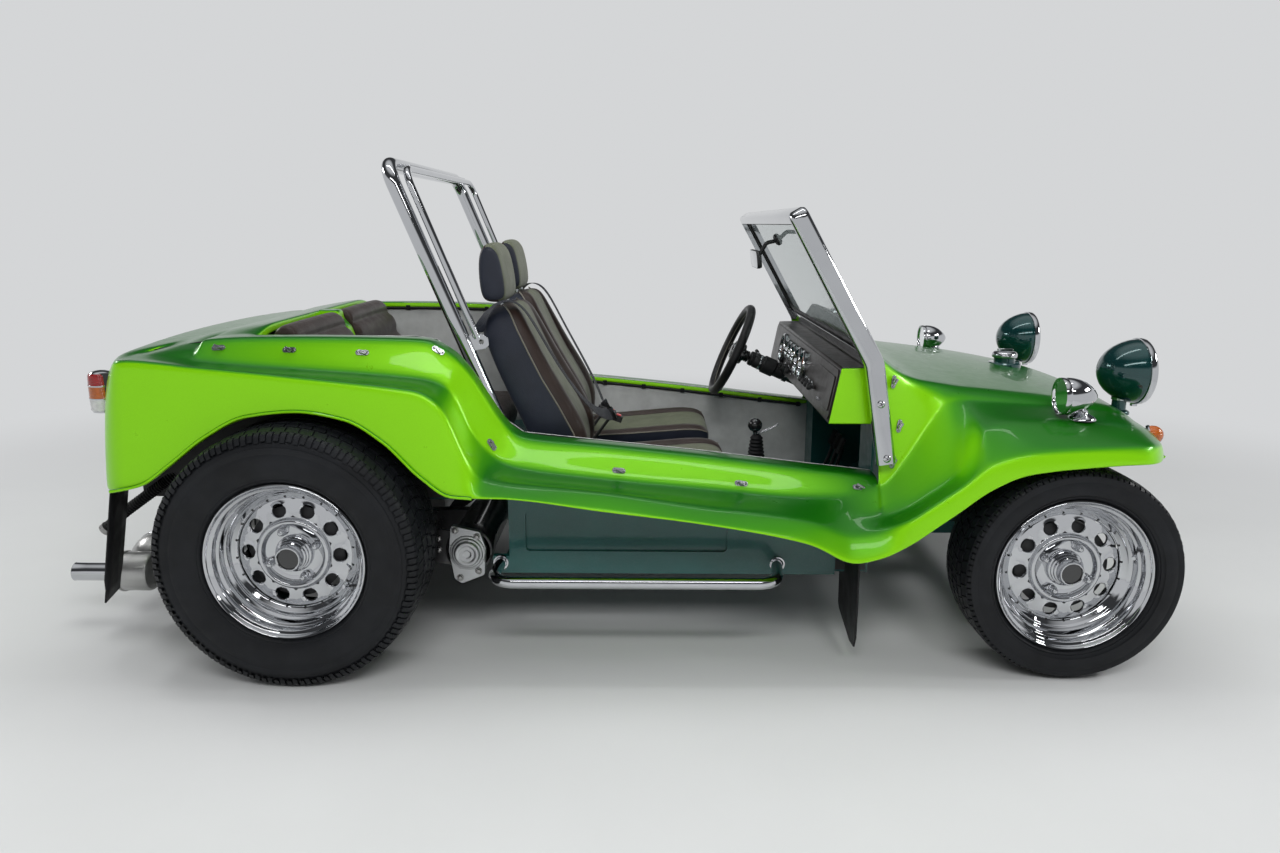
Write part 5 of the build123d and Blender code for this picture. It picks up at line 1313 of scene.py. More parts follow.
def there_and_back(near):
    """A path up the near side, across and down the far side."""
    return near + [(x, -y, z) for x, y, z in near[::-1]]


def roll_bar():
    """The hoop, its thinner front stays, the head plate with its clips and the lug plates."""
    x, z, foot = ROLL_TOP_X, ROLL_TOP_Z, 530
    near = [(foot, -ROLL_Y, 438), (foot, -ROLL_Y, 560), (x, -ROLL_Y, z)]
    form = Form().tube(rounded_path(there_and_back(near), 60, 10), ROLL_R, 28)
    stay = [(444, -ROLL_Y, 872), (x + 50, -ROLL_Y, z - 12)]
    form.tube(rounded_path(there_and_back(stay), 50, 10), STAY_R, 20)
    feet, lugs = Form(), Form()
    feet.box((500, ROLL_Y - 30, 430), (559, ROLL_Y + 30, 438))
    for dy in (-20, 20):
        feet.lathe([(0, 8), (5, 8), (8, 5), (8, 0.01)], facing((512, ROLL_Y + dy, 438), UP), 6)
    outline = [(398, 864), (412, 878), (458, 884), (474, 872), (476, 852), (464, 842), (412, 834)]
    lugs.join(lug_plate(outline, (455, 862), 6.5))
    lugs.lathe([(-6, 9), (6, 9), (9, 6), (9, 0.01)], facing((438, ROLL_Y, 880), OUT), 6)
    form.make("roll_bar_tubes", CHROME, slot="bar_chrome", stands_for=["roll_bar"])
    feet.both().make("roll_bar_feet", CHROME, slot="bar_chrome", bevel=1.2)
    lugs.both().make("roll_bar_lugs", POLISH, slot="bar_chrome", bevel=0.8)
    head = Form().box((x + 6, -400, z - 4), (x + 46, 400, z + 2))
    head.make("roll_bar_head_plate", POLISH, slot="bar_chrome", bevel=1.0)
    studs = Form()
    for k in range(22):
        y = -390 + 780 * k / 21
        studs.box((x + 22, y - 9, z + 1), (x + 29, y + 9, z + 4))
    studs.make("roll_bar_head_studs", CHROME, slot="bar_chrome", bevel=0.8)


def lug_plate(outline, hole, radius):
    """A plate across the car's side with a round eye."""
    form = Form()
    rows = [[], [], [], []]
    for k in range(40):
        turn = 2 * pi * k / 40
        dx, dz = math.cos(turn), math.sin(turn)
        reach = ray_reach(outline, hole, dx, dz)
        for row, (share, y) in enumerate(((1, -4), (1, 4), (0, 4), (0, -4))):
            away = reach if share else radius
            rows[row].append(Vector((hole[0] + dx * away, ROLL_Y + y, hole[1] + dz * away)))
    return form.grid(rows, around=True, along=True)


def ray_reach(outline, start, dx, dz):
    """How far a ray runs inside a closed outline."""
    best = 1e9
    for (x0, z0), (x1, z1) in zip(outline, outline[1:] + outline[:1]):
        ex, ez = x1 - x0, z1 - z0
        cross = dx * ez - dz * ex
        if abs(cross) < 1e-9:
            continue
        t = ((x0 - start[0]) * ez - (z0 - start[1]) * ex) / cross
        u = ((x0 - start[0]) * dz - (z0 - start[1]) * dx) / cross
        if t > 0 and -1e-6 <= u <= 1 + 1e-6:
            best = min(best, t)
    return best


def side_steps():
    """The bent step tube on each side with its clamps."""
    route = [(506, 548, 250), (500, 720, 250), (1262, 720, 250), (1282, 548, 250)]
    form = Form().tube(rounded_path(route, 60, 10), 16, 24)
    collars = Form()
    for x in (505, 1281):
        collars.lathe([(-6, 17), (-6, 21), (6, 21), (6, 17)], facing((x, 566, 250), OUT), 24)
    form.join(collars).both().make("side_step_tubes", CHROME, slot="step_chrome", stands_for=["side_steps"])


SCREEN_FOOT, SCREEN_KNEE = Vector((1547, 640, 564)), Vector((1503, 640, 829))
SCREEN_TOP = Vector((1288, 640, 1212))
SCREEN_UP = (SCREEN_TOP - SCREEN_KNEE).normalized()
SCREEN_AHEAD = Vector((SCREEN_UP.z, 0, -SCREEN_UP.x))
PANE_LOW, PANE_HIGH = 0.05, 0.955


def on_screen(share, y, ahead=0.0):
    """A point on the pane's plane, share of the way from knee to top."""
    return SCREEN_KNEE.lerp(SCREEN_TOP, share) + SCREEN_AHEAD * ahead + Vector((0, y - 640, 0))


def channel_shape(width, deep):
    """A rounded channel's section, across and up from its open side."""
    half = width / 2
    left = [(-half, 0), (-half, deep * 0.55), (-half * 0.88, deep * 0.8), (-half * 0.55, deep * 0.95)]
    return left + [(-a, b) for a, b in left[::-1]]


def channel(path, across, width, deep):
    """A rounded channel bar along a path: its flat face looks along across."""
    rows = []
    for i, here in enumerate(path):
        ahead = (path[min(i + 1, len(path) - 1)] - path[max(i - 1, 0)]).normalized()
        side = ahead.cross(across).normalized()
        rows.append([here + side * a + across * b for a, b in channel_shape(width, deep)])
    return Form().grid(rows, around=True, ends=(0, 0))


def windscreen():
    """Polished posts and top rail over a dark sill."""
    out, wide, deep = Vector((0, 1, 0)), 50, 28
    post = rounded_path([SCREEN_FOOT, SCREEN_KNEE, on_screen(PANE_HIGH, 640)], 90, 10)
    bars = channel(post, out, wide, deep)
    # The post bends over into the top rail: its flat side turns from outboard to along the screen.
    turns = [pi / 2 * k / 8 for k in range(9)]
    bend = [(640, out * math.cos(turn) + SCREEN_UP * math.sin(turn)) for turn in turns]
    rows = []
    for y, across in bend + [(300, SCREEN_UP), (0, SCREEN_UP)]:
        heart = on_screen(PANE_HIGH, y)
        rows.append([heart - SCREEN_AHEAD * a + across * b for a, b in channel_shape(wide, deep)])
    bars.grid(rows, around=True)
    bars.both().make("screen_frame", POLISH, slot="frame_polish", sharp=50, stands_for=["windscreen_frame"])
    sill = channel([on_screen(0.035, y) - SCREEN_AHEAD * 12 for y in (632, 300, 0)], SCREEN_AHEAD, 36, 24)
    sill.both().make("screen_sill", BLACK_GLOSS, slot="frame_polish", bevel=1.0)


def screen_pane():
    """The tinted pane in its rubber seal."""
    corners = [(-632, PANE_LOW), (632, PANE_LOW), (632, PANE_HIGH), (-632, PANE_HIGH)]
    rows = [[on_screen(share, y, away) for y, share in corners] for away in (-2.5, 2.5)]
    pane = Form().grid(rows, around=True, ends=(0, 0))
    pane.make("screen_pane", TINTED, slot="glass_tint", stands_for=["windscreen_glass"])
    span, side = (SCREEN_TOP - SCREEN_KNEE).length, 640 - 26
    low, high = PANE_LOW + 18 / span, PANE_HIGH - 8 / span
    ring = [(low, 0), (low, side), (high, side), (high, -side), (low, -side), (low, 0)]
    loop = rounded_path([on_screen(share, y) for share, y in ring], 34, 6)
    Form().tube(loop, 7.5, 10, caps=False).make("screen_seal", RUBBER, slot="frame_polish")


def screen_screws():
    """The two cross-headed screws of each post on their spacers."""
    screws = Form()
    for x, z in ((1521, 726), (1545, 580)):
        place = facing((x, 668, z), OUT)
        screws.lathe([(0, 10), (2, 10), (5, 7), (6, 3), (6, 0.01)], place, 20)
        for turn in (0, pi / 2):
            screws.box((-6, -0.9, 5.2), (6, 0.9, 6.6), 1, place @ Matrix.Rotation(turn + 0.3, 4, "Z"))
        screws.tube([(x, 606, z), (x, 641, z)], 14, 18)
    screws.both().make("screen_screws", [CHROME, BLACK], slot="frame_polish")


def inside_mirror():
    """The inside mirror on its ball arm below the top rail."""
    foot = on_screen(0.80, 0, -4)
    form = Form().lathe([(-2, 0.01), (-2, 20), (4, 19), (9, 12), (10, 0.01)], facing(foot, -SCREEN_AHEAD), 24)
    arm = [foot - SCREEN_AHEAD * 8, foot + Vector((-34, 0, -10)), foot + Vector((-58, 0, -52))]
    form.tube(rounded_path(arm, 18, 5), 6.5, 12)
    place = facing(foot + Vector((-66, 0, -60)), (-1, 0, -0.12), OUT)
    rows = []
    for along, size in ((-9, 0.72), (-7, 0.93), (0, 1.0), (7, 0.98), (8, 0.93)):
        rows.append([place @ Vector((a * size, b * size, along)) for a, b in rounded_outline(210, 56, 22)])
    form.grid(rows, around=True, ends=(0, 1))
    form.make("inside_mirror", [BLACK_PLASTIC, CHROME], slot="frame_polish")


LAMP_Y, LAMP_Z = 400, 775


def headlamps():
    """Teal bowls on their stalks, chrome rims and clear domed lenses over a reflector."""
    place = facing((0, LAMP_Y, LAMP_Z), AHEAD)
    bowl = [
        (2202, 0.01), (2203, 12), (2207, 26), (2215, 42), (2227, 57), (2243, 70), (2262, 80.5), (2282, 88),
        (2298, 91.5), (2307, 92), (2309, 90), (2307, 86),
    ]
    form = Form().lathe(bowl, place, 64)
    form.tube([(2271, LAMP_Y, 662), (2271, LAMP_Y, 712)], [20, 18.5], 24)
    form.lathe([(652, 30), (658, 30), (662, 27), (665, 20)], facing((2271, LAMP_Y, 0), UP), 32)
    form.both().make("headlamp_bowls", TEAL_LAMP, slot="lamp_paint", stands_for=["headlamps"], sharp=50)
    ring = [
        (2305, 92), (2306, 94.6), (2310, 95.2), (2318, 95), (2323, 93), (2326, 89.5), (2327, 86.5),
        (2324, 84.5), (2316, 85), (2305, 87),
    ]
    bright = Form().lathe(ring, place, 64)
    mirror_bowl = [(2316, 85), (2296, 80), (2272, 66), (2250, 44), (2240, 20), (2238, 0.01)]
    bright.lathe(mirror_bowl, place, 48)
    bright.tube([(2271, LAMP_Y, 700), (2271, LAMP_Y, 693)], [22, 22], 24)
    bright.box((2306, LAMP_Y - 6, LAMP_Z - 101), (2321, LAMP_Y + 6, LAMP_Z - 92))
    bright.both().make("headlamp_rims", CHROME, slot="lamp_paint", sharp=50)
    dome = []
    for k in range(9):
        share = 1 - k / 8
        dome.append((2322 + 10 * (1 - share**2), max(85.5 * share, 0.01)))
    Form().lathe(dome, place, 56).both().make(
        "headlamp_domes", CLEAR, slot="lens_glass", stands_for=["headlamp_lenses"], wall=2.5)
    bolts = Form()
    bolts.lathe([(0, 9), (6, 9), (9, 6), (9, 0.01)], facing((2271, LAMP_Y, 690), (0, -1, 0)), 6)
    bolts.both().make("headlamp_bolts", CHROME, slot="lamp_paint")


def door_mirrors():
    """Chromed bullet mirrors on flared feet, the glass facing back."""
    y, z = 641.6, 745
    place = facing((0, y, z), AHEAD)
    bullet = [
        (1994, 44), (1992, 46), (1991, 48), (1993, 49), (2002, 49), (2006, 47.5), (2010, 49), (2024, 48.6),
        (2040, 45.4), (2056, 38.5), (2070, 28.5), (2081, 18), (2088, 8), (2090, 0.01),
    ]
    form = Form().lathe(bullet, place, 48)
    form.lathe([(1994, 44), (1997, 43), (1997, 0.01)], place, 48, mark=1)
    foot = [(684, 36), (688, 35), (692, 31), (696, 22), (700, 16), (704, 13.5), (708, 13)]
    form.lathe(foot, facing((2055, y, 0), UP), 32)
    form.tube([(2055, y, 702), (2051, y, 712), (2046, y, 722)], [13, 12, 14], 20)
    form.lathe([(0, 13), (6, 13), (9, 11)], facing((2048, y, 716), UP), 24)
    form.both().make(
        "mirror_bullets", [CHROME, MIRROR], slot="mirror_chrome", stands_for=["door_mirrors"], sharp=40)


def turn_signals():
    """Round amber lamps on chromed bases at the nose's corners."""
    place = facing((2281, 584, 630), (0.75, 0.45, 0.35))
    base = Form().lathe([(-14, 12), (-12, 29), (-6, 30), (-3, 28), (-3, 24)], place, 36)
    base.both().make("signal_bases", CHROME, slot="amber_lens")
    cap = Form().lathe([(-4, 26), (2, 26), (4, 25), (12, 22), (19, 15), (23, 7), (24, 0.01)], place, 36)
    cap.both().make("signal_caps", AMBER, slot="amber_lens", stands_for=["turn_signals"])


def tail_lamps():
    """Upright round lamps on chromed bodies: red over amber over clear."""
    y, x = 640, -524
    form = Form()
    outline = [
        (690, 0.01, 1), (691, 20, 1), (693, 27, 1), (698, 29, 1), (699, 31, 3), (728, 32, 3), (729, 33, 1),
        (732, 33, 1), (733, 32, 2), (762, 32, 2), (763, 33, 1), (766, 33, 1), (767, 32, 0), (790, 31, 0),
        (796, 28, 0), (800, 22, 1), (803, 12, 1), (804, 0.01, 1),
    ]
    place = facing((x + 2, y, 0), UP)
    for low, high in zip(outline, outline[1:]):
        form.lathe([low[:2], high[:2]], place, 40, mark=high[2])
    # Painted shadow: the block between the lamp and the body is black so that it reads as the shadow gap
    # there.
    form.box((x + 8, y - 24, 697), (x + 42, y + 24, 798), 4)
    form.both().make(
        "tail_lamp_stacks", [RED, CHROME, AMBER, WHITE, BLACK_PLASTIC], slot="red_lens",
        stands_for=["tail_lamps"], sharp=40, bevel=1.5)


def filler():
    """Teal filler neck with a chromed cap ring and lever."""
    place = facing((2084, 0, 0), UP)
    neck = Form().lathe([(724, 52), (739, 52), (743, 48), (744, 33), (758, 33), (759, 31)], place, 40)
    neck.make("filler_neck", TEAL_LAMP, slot="filler_chrome", stands_for=["fuel_filler"])
    ring = [(757, 30), (758, 38), (762, 39.5), (770, 39.5), (773, 37), (777, 34), (779, 26), (779, 0.01)]
    cap = Form().lathe(ring, place, 48)
    cap.box((2060, -6, 778), (2108, 6, 786))
    cap.make("filler_cap", CHROME, slot="filler_chrome", bevel=1.0, sharp=40)


def mud_flaps():
    """Hanging rubber flaps: flat before the sills, leaning back behind the rear wheels."""
    front = [
        (468, 226), (538, 226), (538, 345), (700, 366), (706, 330), (706, 92), (690, 58), (640, 54),
        (490, 86), (474, 100),
    ]
    form = Form().plate(front, facing((1477, 0, 0), AHEAD, OUT), 5)
    form.both().make("mud_flaps_front", RUBBER, slot="flap_rubber", stands_for=["mud_flaps"], bevel=1.0)
    top, inner, outer, rows = 545, 592, 733, []
    for z in (top, 480, 420, 360, 300, 250, 215, 180):
        down, trim = top - z, z < 220
        x = -500 - 68 * down / 365
        low, high = inner + (8 if trim else 0), outer - 0.03 * down - (14 if trim else 0)
        rows.append([(x + (y - inner) * 0.2, y, z) for y in (low, 630, 680, high)])
    Form().grid(rows).both().make("mud_flaps_rear", RUBBER, slot="flap_rubber", wall=4)


roll_bar()
side_steps()
windscreen()
screen_pane()
screen_screws()
inside_mirror()
headlamps()
door_mirrors()
turn_signals()
tail_lamps()
filler()
mud_flaps()


# Running gear: torsion housing, silencer, engine dress, axle fittings and the band between the rear backs.
def hex_bolt(form, spot, out, size=8.0, mark=0):
    """A washer and a hexagon head, looking along out."""
    place = facing(spot, out)
    form.lathe([(0, size * 1.35), (1.8, size * 1.35), (1.8, size)], place, 24, mark=mark)
    head = [(1.8, size), (size * 0.75, size), (size * 0.85, size * 0.8), (size * 0.85, 0.01)]
    form.lathe(head, place, 6, mark=mark)


def torsion_housing():
    """Cast torsion tube with its fork and cradle, and the four-bolt end covers with ringed bosses."""
    x, z, face = 417, 287, 576
    place = facing((x, 0, z), OUT)
    half = [
        (0, 58), (60, 58), (70, 62), (84, 62), (94, 58), (228, 58), (240, 62), (500, 62), (510, 66),
        (574, 66), (577, 60),
    ]
    form = Form().lathe(half, place, 56)
    fork = [(380, 240), (380, 300), (-150, 300), (-150, 230), (300, 230)]
    form.plate(fork, facing((0, 235, 0), (0, -1, 0), AHEAD), 35)
    form.box((-150, 0, 222), (-110, 235, 250))
    cap = Form()
    outline = [(372, 366), (452, 348), (468, 300), (462, 222), (398, 196), (378, 210), (364, 290)]
    soft = rounded_path([(p[0], p[1], 0) for p in outline[-1:] + outline + outline[:1]], 9, 3)[1:-1]
    flat = facing((0, face, 0), OUT, AHEAD)
    cap.plate([(p.x, -p.y) for p in soft], flat, 18)
    rings = [
        (594, 50), (597, 49), (598, 46), (598, 43), (601, 42), (603, 40), (603, 36), (607, 35), (611, 33),
        (612, 29), (611, 24), (609, 22), (609, 12), (607, 10), (607, 0.01),
    ]
    cap.lathe(rings, facing((x, 0, z), OUT), 48)
    for a, b in ((384, 352), (444, 334), (446, 234), (394, 214)):
        hex_bolt(cap, (a, 594, b), OUT, 7.5, 1)
    for turn in range(0, 360, 45):
        dx, dz = math.cos(math.radians(turn + 20)), math.sin(math.radians(turn + 20))
        rib = [(44, 2), (52, 1.5), (52, -1.5), (44, -2)]
        corners = [(x + dx * r - dz * w, z + dz * r + dx * w) for r, w in rib]
        cap.plate([(a, -b) for a, b in corners], facing((0, 594, 0), OUT, AHEAD), 4)
    form.both().make("torsion_tube", BLACK, slot="cast_silver", bevel=1.5, stands_for=["torsion_housing"])
    cap.both().make("torsion_covers", [CAST, STEEL], slot="cast_silver", bevel=1.6)


def silencer():
    """The cross silencer with rolled ends and bands, and its two open tailpipes on clamps."""
    x, z = -600, 180
    half = [
        (0, 66), (300, 66), (303, 68), (312, 68), (315, 66), (340, 66), (364, 60), (382, 48), (396, 30),
        (400, 0.01),
    ]
    form = Form().lathe(half, facing((x, 0, z), OUT), 56)
    can = [
        (-52, 0.01), (-52, 40), (-46, 54), (-38, 58), (34, 58), (35, 61), (43, 61), (44, 58), (42, 54),
        (40, 28),
    ]
    form.lathe(can, facing((x, 430, 165), BACK), 56)
    pipe = [(20, 27), (150, 27), (186, 27), (190, 28), (190, 26.4), (186, 25.6), (80, 25.6), (80, 0.01)]
    form.lathe(pipe, facing((x, 430, 162), BACK), 40, mark=1)
    form.lathe([(44, 28), (44, 31), (58, 31), (58, 28)], facing((x, 430, 162), BACK), 40, mark=1)
    form.box((x - 56, 422, 188), (x - 46, 438, 202), 1)
    form.tube([(x - 51, 414, 195), (x - 51, 446, 195)], 4, 10, mark=1)
    for y in (120, 306):
        form.lathe([(-9, 67), (-9, 69), (9, 69), (9, 67)], facing((x, y, z), OUT), 56, mark=1)
        form.box((x - 8, y - 9, z + 67), (x + 8, y + 9, z + 84), 1)
    form.both().make(
        "silencer_body", [SATIN, CHROME], slot="exhaust_steel", bevel=0.8, stands_for=["exhaust"])
    flange = Form()
    for fx, y in ((-250, 270), (-400, 320)):
        flange.plate(rounded_outline(74, 46, 18), facing((fx, y, 262), UP), 9)
        for dx in (-27, 27):
            hex_bolt(flange, (fx + dx, y, 262), DOWN, 6, 1)
    flange.both().make("exhaust_flanges", [IRON, STEEL], slot="exhaust_steel", bevel=0.8)


def air_hoses():
    """A ribbed air hose and its clamp on each side, from the engine bay out behind the rear flap."""
    line = rounded_path([(-330, 500, 556), (-440, 536, 468), (-560, 540, 382), (-626, 538, 326)], 60, 6)
    path = []
    for a, b in zip(line, line[1:]):
        steps = max(1, round((b - a).length / 4))
        path += [a.lerp(b, k / steps) for k in range(steps)]
    ribs = [16.5 if k % 2 else 13.5 for k in range(len(path))]
    hose = Form().tube(path, ribs, 20)
    end, ahead = path[-1], path[-1] - path[-4]
    hose.lathe([(-14, 15), (-14, 18.5), (0, 18.5), (0, 15)], facing(end, ahead), 28, mark=1)
    hose.both().make("air_hoses", [RUBBER, STEEL], slot="flap_rubber")


def belt_loop(low, high, x, width):
    """The fan belt round two pulleys, each z and radius, across the car."""
    half, rows = width / 2, []
    for z, radius, start in ((*high, 0), (*low, pi)):
        for k in range(17):
            across, up = math.cos(start + pi * k / 16), math.sin(start + pi * k / 16)
            row = []
            for a, b in ((-half, 3), (half, 3), (half - 3, -5), (-half + 3, -5)):
                row.append(Vector((x + a, (radius + b) * across, z + (radius + b) * up)))
            rows.append(row)
    return Form().grid(rows, around=True, along=True)


def engine_dress():
    """Fan, belt, pulley nuts, rocker wires, distributor and leads, coil, throttle body and clamps."""
    dark, bright, cast_form = Form(), Form(), Form()
    fan = facing((-352, 0, 600), BACK)
    dark.lathe([(0, 118), (5, 118), (7, 115), (7, 108), (2, 104)], fan, 64)
    for k in range(24):
        turn = 2 * pi * k / 24
        blade = fan @ Matrix.Rotation(turn, 4, "Z") @ Matrix.Translation((79, 0, 2))
        dark.box((-26, -1.2, -7), (26, 1.2, 7), 0, blade @ Matrix.Rotation(0.7, 4, "X"))
    dark.join(belt_loop((340, 78), (600, 55), -540, 12))
    for z in (600, 340):
        bright.lathe([(0, 22), (4, 22), (5, 18), (5, 13)], facing((-545, 0, z), BACK), 36)
        bright.lathe([(4, 13), (14, 13), (16, 11), (16, 0.01)], facing((-545, 0, z), BACK), 6)
    for k in range(6):
        across, up = 40 * math.cos(k * pi / 3), 40 * math.sin(k * pi / 3)
        dark.lathe([(0, 7), (2.5, 6)], facing((-545, across, 600 + up), BACK), 16)
    for side in (1, -1):
        low, high = sorted((side * 378, side * 386))
        for x in (-385, -325, -265):
            cast_form.box((x - 4, low, 292), (x + 4, high, 378))
        wire = [(-440, 352, 335), (-440, 388, 330), (-325, 391, 322), (-210, 388, 330), (-210, 352, 335)]
        bright.tube(rounded_path([(x, side * y, z) for x, y, z in wire], 14, 4), 3, 10)
    spot = facing((-420, 80, 402), (-0.25, 0.2, 1))
    cast_form.lathe([(0, 20), (10, 20), (12, 26), (40, 26), (42, 22)], spot, 28)
    dark.lathe([(42, 29), (46, 32), (62, 31), (70, 24), (72, 0.01)], spot, 28)
    heads = [(-260, 292, 398), (-390, 292, 398), (-260, -292, 398), (-390, -292, 398)]
    for k, head in enumerate(heads):
        turn = pi / 4 + k * pi / 2
        post = spot @ Vector((17 * math.cos(turn), 17 * math.sin(turn), 66))
        up = spot @ Vector((24 * math.cos(turn), 24 * math.sin(turn), 104))
        dark.tube([post, post.lerp(up, 0.45)], 6.5, 12)
        x, y, z = head
        way = [post, up, (x - 10, y * 0.6, 505), (x, y, 450), head]
        dark.tube(rounded_path(way, 24, 4), 4, 10)
        dark.tube([(x, y, z + 34), head], 9, 14)
    coil = facing((-352, 190, 560), BACK)
    dark.lathe([(0, 24), (4, 27), (104, 27), (108, 22), (118, 16), (118, 0.01)], coil, 32)
    bright.lathe([(30, 27), (30, 29), (58, 29), (58, 27)], coil, 32)
    cast_form.box((-482, -26, 646), (-422, 26, 690))
    cast_form.lathe([(0, 34), (8, 34), (10, 30)], facing((-452, 0, 640), UP), 32)
    bright.tube([(-452, -40, 664), (-452, 40, 664)], 4, 12)
    bright.lathe([(0, 93), (2, 94.5), (6, 94.5), (8, 93)], facing((-452, 0, 712), UP), 64)
    bright.lathe([(0, 11), (5, 11), (6, 7), (14, 7), (15, 0.01)], facing((-452, 0, 752), UP), 20)
    bright.lathe([(-22, 49), (-22, 51), (22, 51), (22, 49)], facing((-436, 0, 600), AHEAD), 48)
    hose = [(-482, -14, 660), (-512, -60, 640), (-500, -150, 560), (-470, -170, 440), (-440, -110, 396)]
    dark.tube(rounded_path(hose, 40, 5), 6, 12)
    dark.make("engine_belt_leads", BLACK_PLASTIC, slot="shroud_black", bevel=0.5)
    bright.make("engine_bright", CHROME, slot="shroud_black", bevel=0.5)
    cast_form.make("engine_castings", ENGINE, slot="engine_cast", bevel=1.5)


def axle_fittings():
    """Clamps and bolts on the front beam, nuts on the link pins and rods, and bolts on the spring plates."""
    bright, dark = Form(), Form()
    for z in (213, 363):
        for y in (120, 300):
            dark.lathe([(-12, 28), (-12, 33), (12, 33), (12, 28)], facing((2180, y, z), OUT), 36)
        dark.lathe([(420, 28), (424, 34), (436, 34)], facing((2180, 0, z), OUT), 36)
        hex_bolt(bright, (2180, 462, z), OUT, 9)
    for dx, z in ((2150, 480), (2196, 480), (2152, 196), (2196, 196)):
        hex_bolt(bright, (dx, 386, z), OUT, 6)
    for x, z in ((395, 320), (439, 254), (330, 318), (330, 286), (50, 395), (-25, 330), (50, 312)):
        hex_bolt(bright, (x, 564, z), OUT, 7)
    dark.tube(rounded_path([(60, 235, 300), (60, 300, 330), (30, 520, 370), (20, 552, 392)], 60, 5), 6, 12)
    bright.both().make("axle_bolts", STEEL, slot="chassis_black")
    dark.both().make("axle_clamps", BLACK, slot="chassis_black", bevel=1.0)


def divider_band():
    """The lime band that runs down between the rear backs, its edges rounded."""
    line = [
        (-168, 899), (-150, 906), (-96, 906), (-88, 900), (-84, 876), (-62, 852), (-52, 824), (12, 590),
        (14, 570), (-28, 570), (-92, 812), (-118, 856), (-150, 872), (-168, 872),
    ]
    band = Form().plate([(x, -z) for x, z in line], facing((0, -27, 0), OUT, AHEAD), 54)
    band.make("divider_band", PAINT, slot="body_paint", bevel=6.0, sharp=20)


torsion_housing()
silencer()
air_hoses()
engine_dress()
axle_fittings()
divider_band()


# What the CAD carries over as it is takes its finish here.
FINISH = {
    "cockpit_liners": LINING, "rear_floor": TEAL, "front_bulkhead": TEAL, "floor_pan": TEAL,
    "heater_channels": TEAL, "dashboard": PAINT, "windscreen_frame": POLISH, "windscreen_glass": TINTED,
    "roll_bar": CHROME, "side_steps": CHROME, "mud_flaps": RUBBER, "headlamps": TEAL_LAMP,
    "headlamp_lenses": CLEAR, "turn_signals": AMBER, "door_mirrors": CHROME, "tail_lamps": RED,
    "fuel_filler": CHROME, "fuel_tank": BLACK, "seat_cushions": NAVY, "seat_backs": NAVY, "headrests": NAVY,
    "seat_bases": BLACK, "rear_bench": BROWN, "gear_lever": BLACK_GLOSS, "pedals": BLACK,
    "steering_column": BLACK, "steering_wheel": BROWN, "torsion_housing": CAST, "spring_plates": BLACK,
    "transaxle": ENGINE, "engine_case": ENGINE, "fan_shroud": BLACK_GLOSS, "generator": BLACK_GLOSS,
    "exhaust": STEEL, "head_pipes": STEEL, "front_beam": BLACK, "knuckle_left": BLACK,
    "knuckle_right": BLACK, "track_rod": BLACK,
}
FAMILIES = [("drum", IRON), ("tyre", TYRE), ("rim", CHROME), ("", PAINT)]


def finish_of(node):
    """The finish of one CAD node: its own, or its family's."""
    return FINISH.get(node) or next(mat for start, mat in FAMILIES if node.startswith(start))


for node, obj in frame["nodes"].items():
    obj.data.materials.clear()
    obj.data.materials.append(finish_of(node))

# The liners are cloth toward the seats only; their backs, seen in the wheel arches, are black.
liner_mesh = frame["nodes"]["cockpit_liners"].data
liner_mesh.materials.append(BLACK_PLASTIC)
for face in liner_mesh.polygons:
    if face.normal.y * face.center.y > 0 or face.normal.x < -0.5:
        face.material_index = 1


# Camera, floor and light. The photo's picture is taken as 1280 by 853.
def camera():
    data = bpy.data.cameras.new("view")
    data.sensor_width, data.lens = 36, 26.43
    cam = bpy.data.objects.new("view", data)
    bpy.context.scene.collection.objects.link(cam)
    yaw, pitch, roll = 0.0082, 0.2130, 0.0029
    look = Matrix.Rotation(pi / 2 - pitch, 4, "X") @ Matrix.Rotation(roll, 4, "Z")
    cam.matrix_world = Matrix.Translation((0.1244, -3.0688, 1.1836)) @ Matrix.Rotation(yaw, 4, "Z") @ look
    bpy.context.scene.camera = cam


BACKDROP = (0.66, 0.67, 0.68)


def floor():
    """Pale around the car, with its shadow, and fading into the backdrop's own tone far off."""
    mesh = bpy.data.meshes.new("floor")
    mesh.from_pydata([(-30, -30, 0), (30, -30, 0), (30, 30, 0), (-30, 30, 0)], [], [[0, 1, 2, 3]])
    obj = bpy.data.objects.new("floor", mesh)
    bpy.context.scene.collection.objects.link(obj)
    pale = Finish("floor_pale", (0.60, 0.61, 0.61), 0.55)
    pale.vary(0.015, 2.0, (0.5, 0.6), 3.0)
    away = pale.add("VectorMath")
    away.operation = "LENGTH"
    pale.links.new(pale.where, away.inputs[0])
    spread = pale.add("MapRange", From_Min=1.9, From_Max=4.6)
    spread.interpolation_type = "SMOOTHSTEP"
    pale.links.new(away.outputs["Value"], spread.inputs["Value"])
    far, mix = pale.add("Emission", Color=(*BACKDROP, 1)), pale.add("MixShader")
    pale.links.new(spread.outputs["Result"], mix.inputs["Fac"])
    pale.links.new(pale.bsdf.outputs["BSDF"], mix.inputs[1])
    pale.links.new(far.outputs["Emission"], mix.inputs[2])
    pale.links.new(mix.outputs["Shader"], pale.nodes["Material Output"].inputs["Surface"])
    mesh.materials.append(pale.mat)


def lamp(name, spot, target, size, power, shape_ratio=1.0, glint=True):
    """A soft panel lamp. Without glint it lights the car but leaves no white patch on the gloss."""
    data = bpy.data.lights.new(name, "AREA")
    data.shape, data.size, data.size_y = "RECTANGLE", size, size * shape_ratio
    data.energy = power
    obj = bpy.data.objects.new(name, data)
    bpy.context.scene.collection.objects.link(obj)
    look = (Vector(target) - Vector(spot)).to_track_quat("-Z", "Y").to_matrix().to_4x4()
    obj.matrix_world = Matrix.Translation(spot) @ look
    obj.visible_glossy = glint


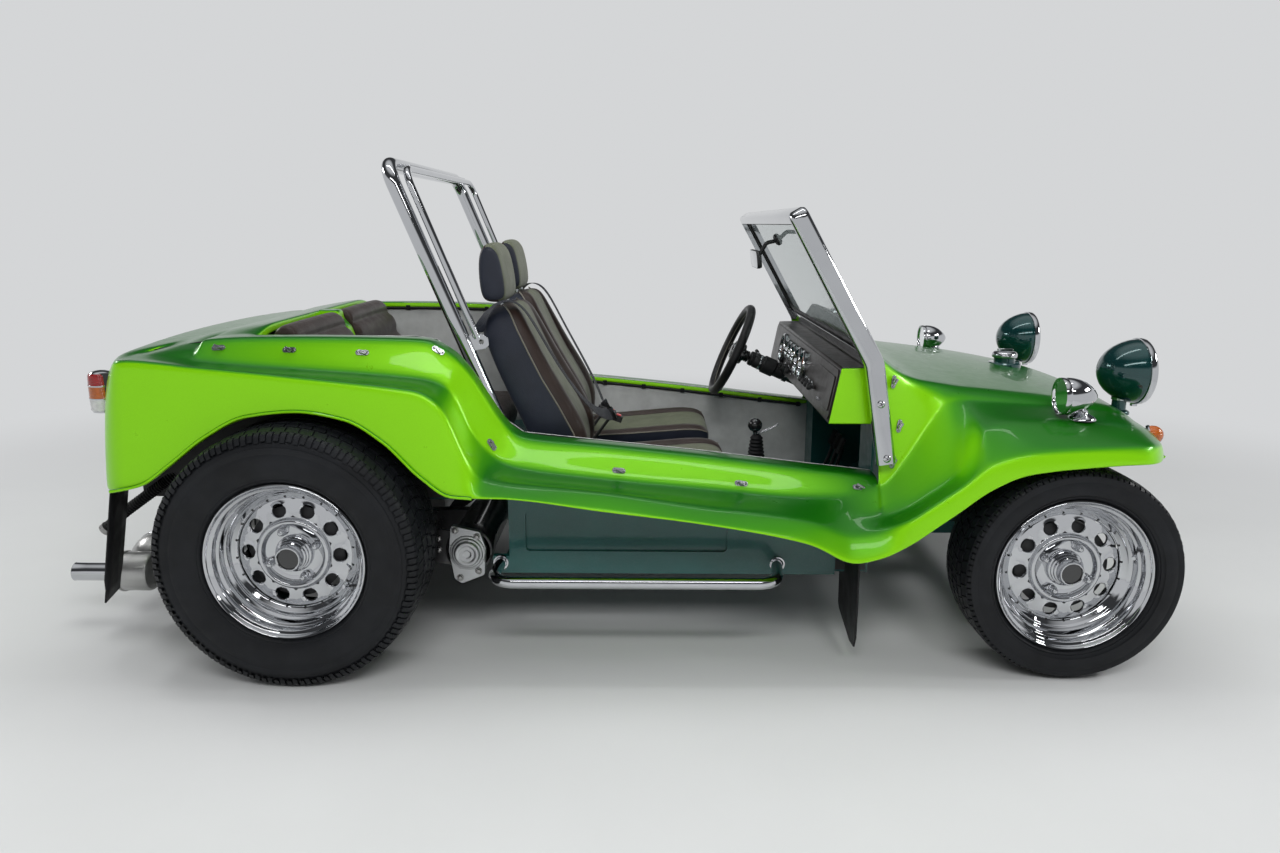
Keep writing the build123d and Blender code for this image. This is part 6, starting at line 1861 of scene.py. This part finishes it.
def world():
    """A pale backdrop under a dark ceiling to camera, gloss and glass, and a grey room for the light."""
    scene = bpy.context.scene
    scene.world = bpy.data.worlds.new("studio")
    scene.world.use_nodes = True
    tree = Tree(scene.world.node_tree)
    split, dark = tree.add("SeparateXYZ"), (0.05, 0.052, 0.055)
    tree.links.new(tree.add("TexCoord").outputs["Generated"], split.inputs["Vector"])
    grey_room = [(0.0, 0.30), (0.2, (0.42, 0.43, 0.44)), (0.6, (0.80, 0.81, 0.82)), (1.0, 1.0)]
    studio = [(0.26, BACKDROP), (0.36, dark), (0.72, dark), (0.9, BACKDROP)]
    back, plain = tree.nodes["Background"], tree.add("Background")
    for shade, stops, strength in ((back, grey_room, 0.5), (plain, studio, 1.0)):
        tree.links.new(tree.ramp(split.outputs["Z"], stops), shade.inputs["Color"])
        shade.inputs["Strength"].default_value = strength
    path, mix = tree.add("LightPath"), tree.add("MixShader")
    seen = path.outputs["Is Camera Ray"]
    for ray in ("Is Glossy Ray", "Is Transmission Ray"):
        either = tree.add("Math")
        either.operation = "MAXIMUM"
        tree.links.new(seen, either.inputs[0])
        tree.links.new(path.outputs[ray], either.inputs[1])
        seen = either.outputs["Value"]
    tree.links.new(seen, mix.inputs["Fac"])
    tree.links.new(back.outputs["Background"], mix.inputs[1])
    tree.links.new(plain.outputs["Background"], mix.inputs[2])
    tree.links.new(mix.outputs["Shader"], tree.nodes["World Output"].inputs["Surface"])


camera()
floor()
lamp("key", (0.5, -3.9, 3.2), (0.1, 0, 0.4), 2.6, 85, 0.42, glint=False)
lamp("strip", (0.2, -3.2, 2.9), (0.1, 0, 0.5), 3.4, 18, 0.06)
lamp("top", (-0.2, 0.3, 4.4), (0, 0, 0), 3.6, 60, 0.5, glint=False)
lamp("top_strip", (0.0, -0.5, 4.0), (0, 0, 0), 3.6, 14, 0.05)
lamp("rear_left", (-3.8, 0.6, 2.4), (-0.4, 0, 0.6), 1.4, 34, 0.3)
lamp("front_left", (3.9, -0.8, 2.2), (0.8, 0, 0.5), 1.4, 34, 0.3)
world()
bpy.context.scene.view_settings.view_transform = "Standard"
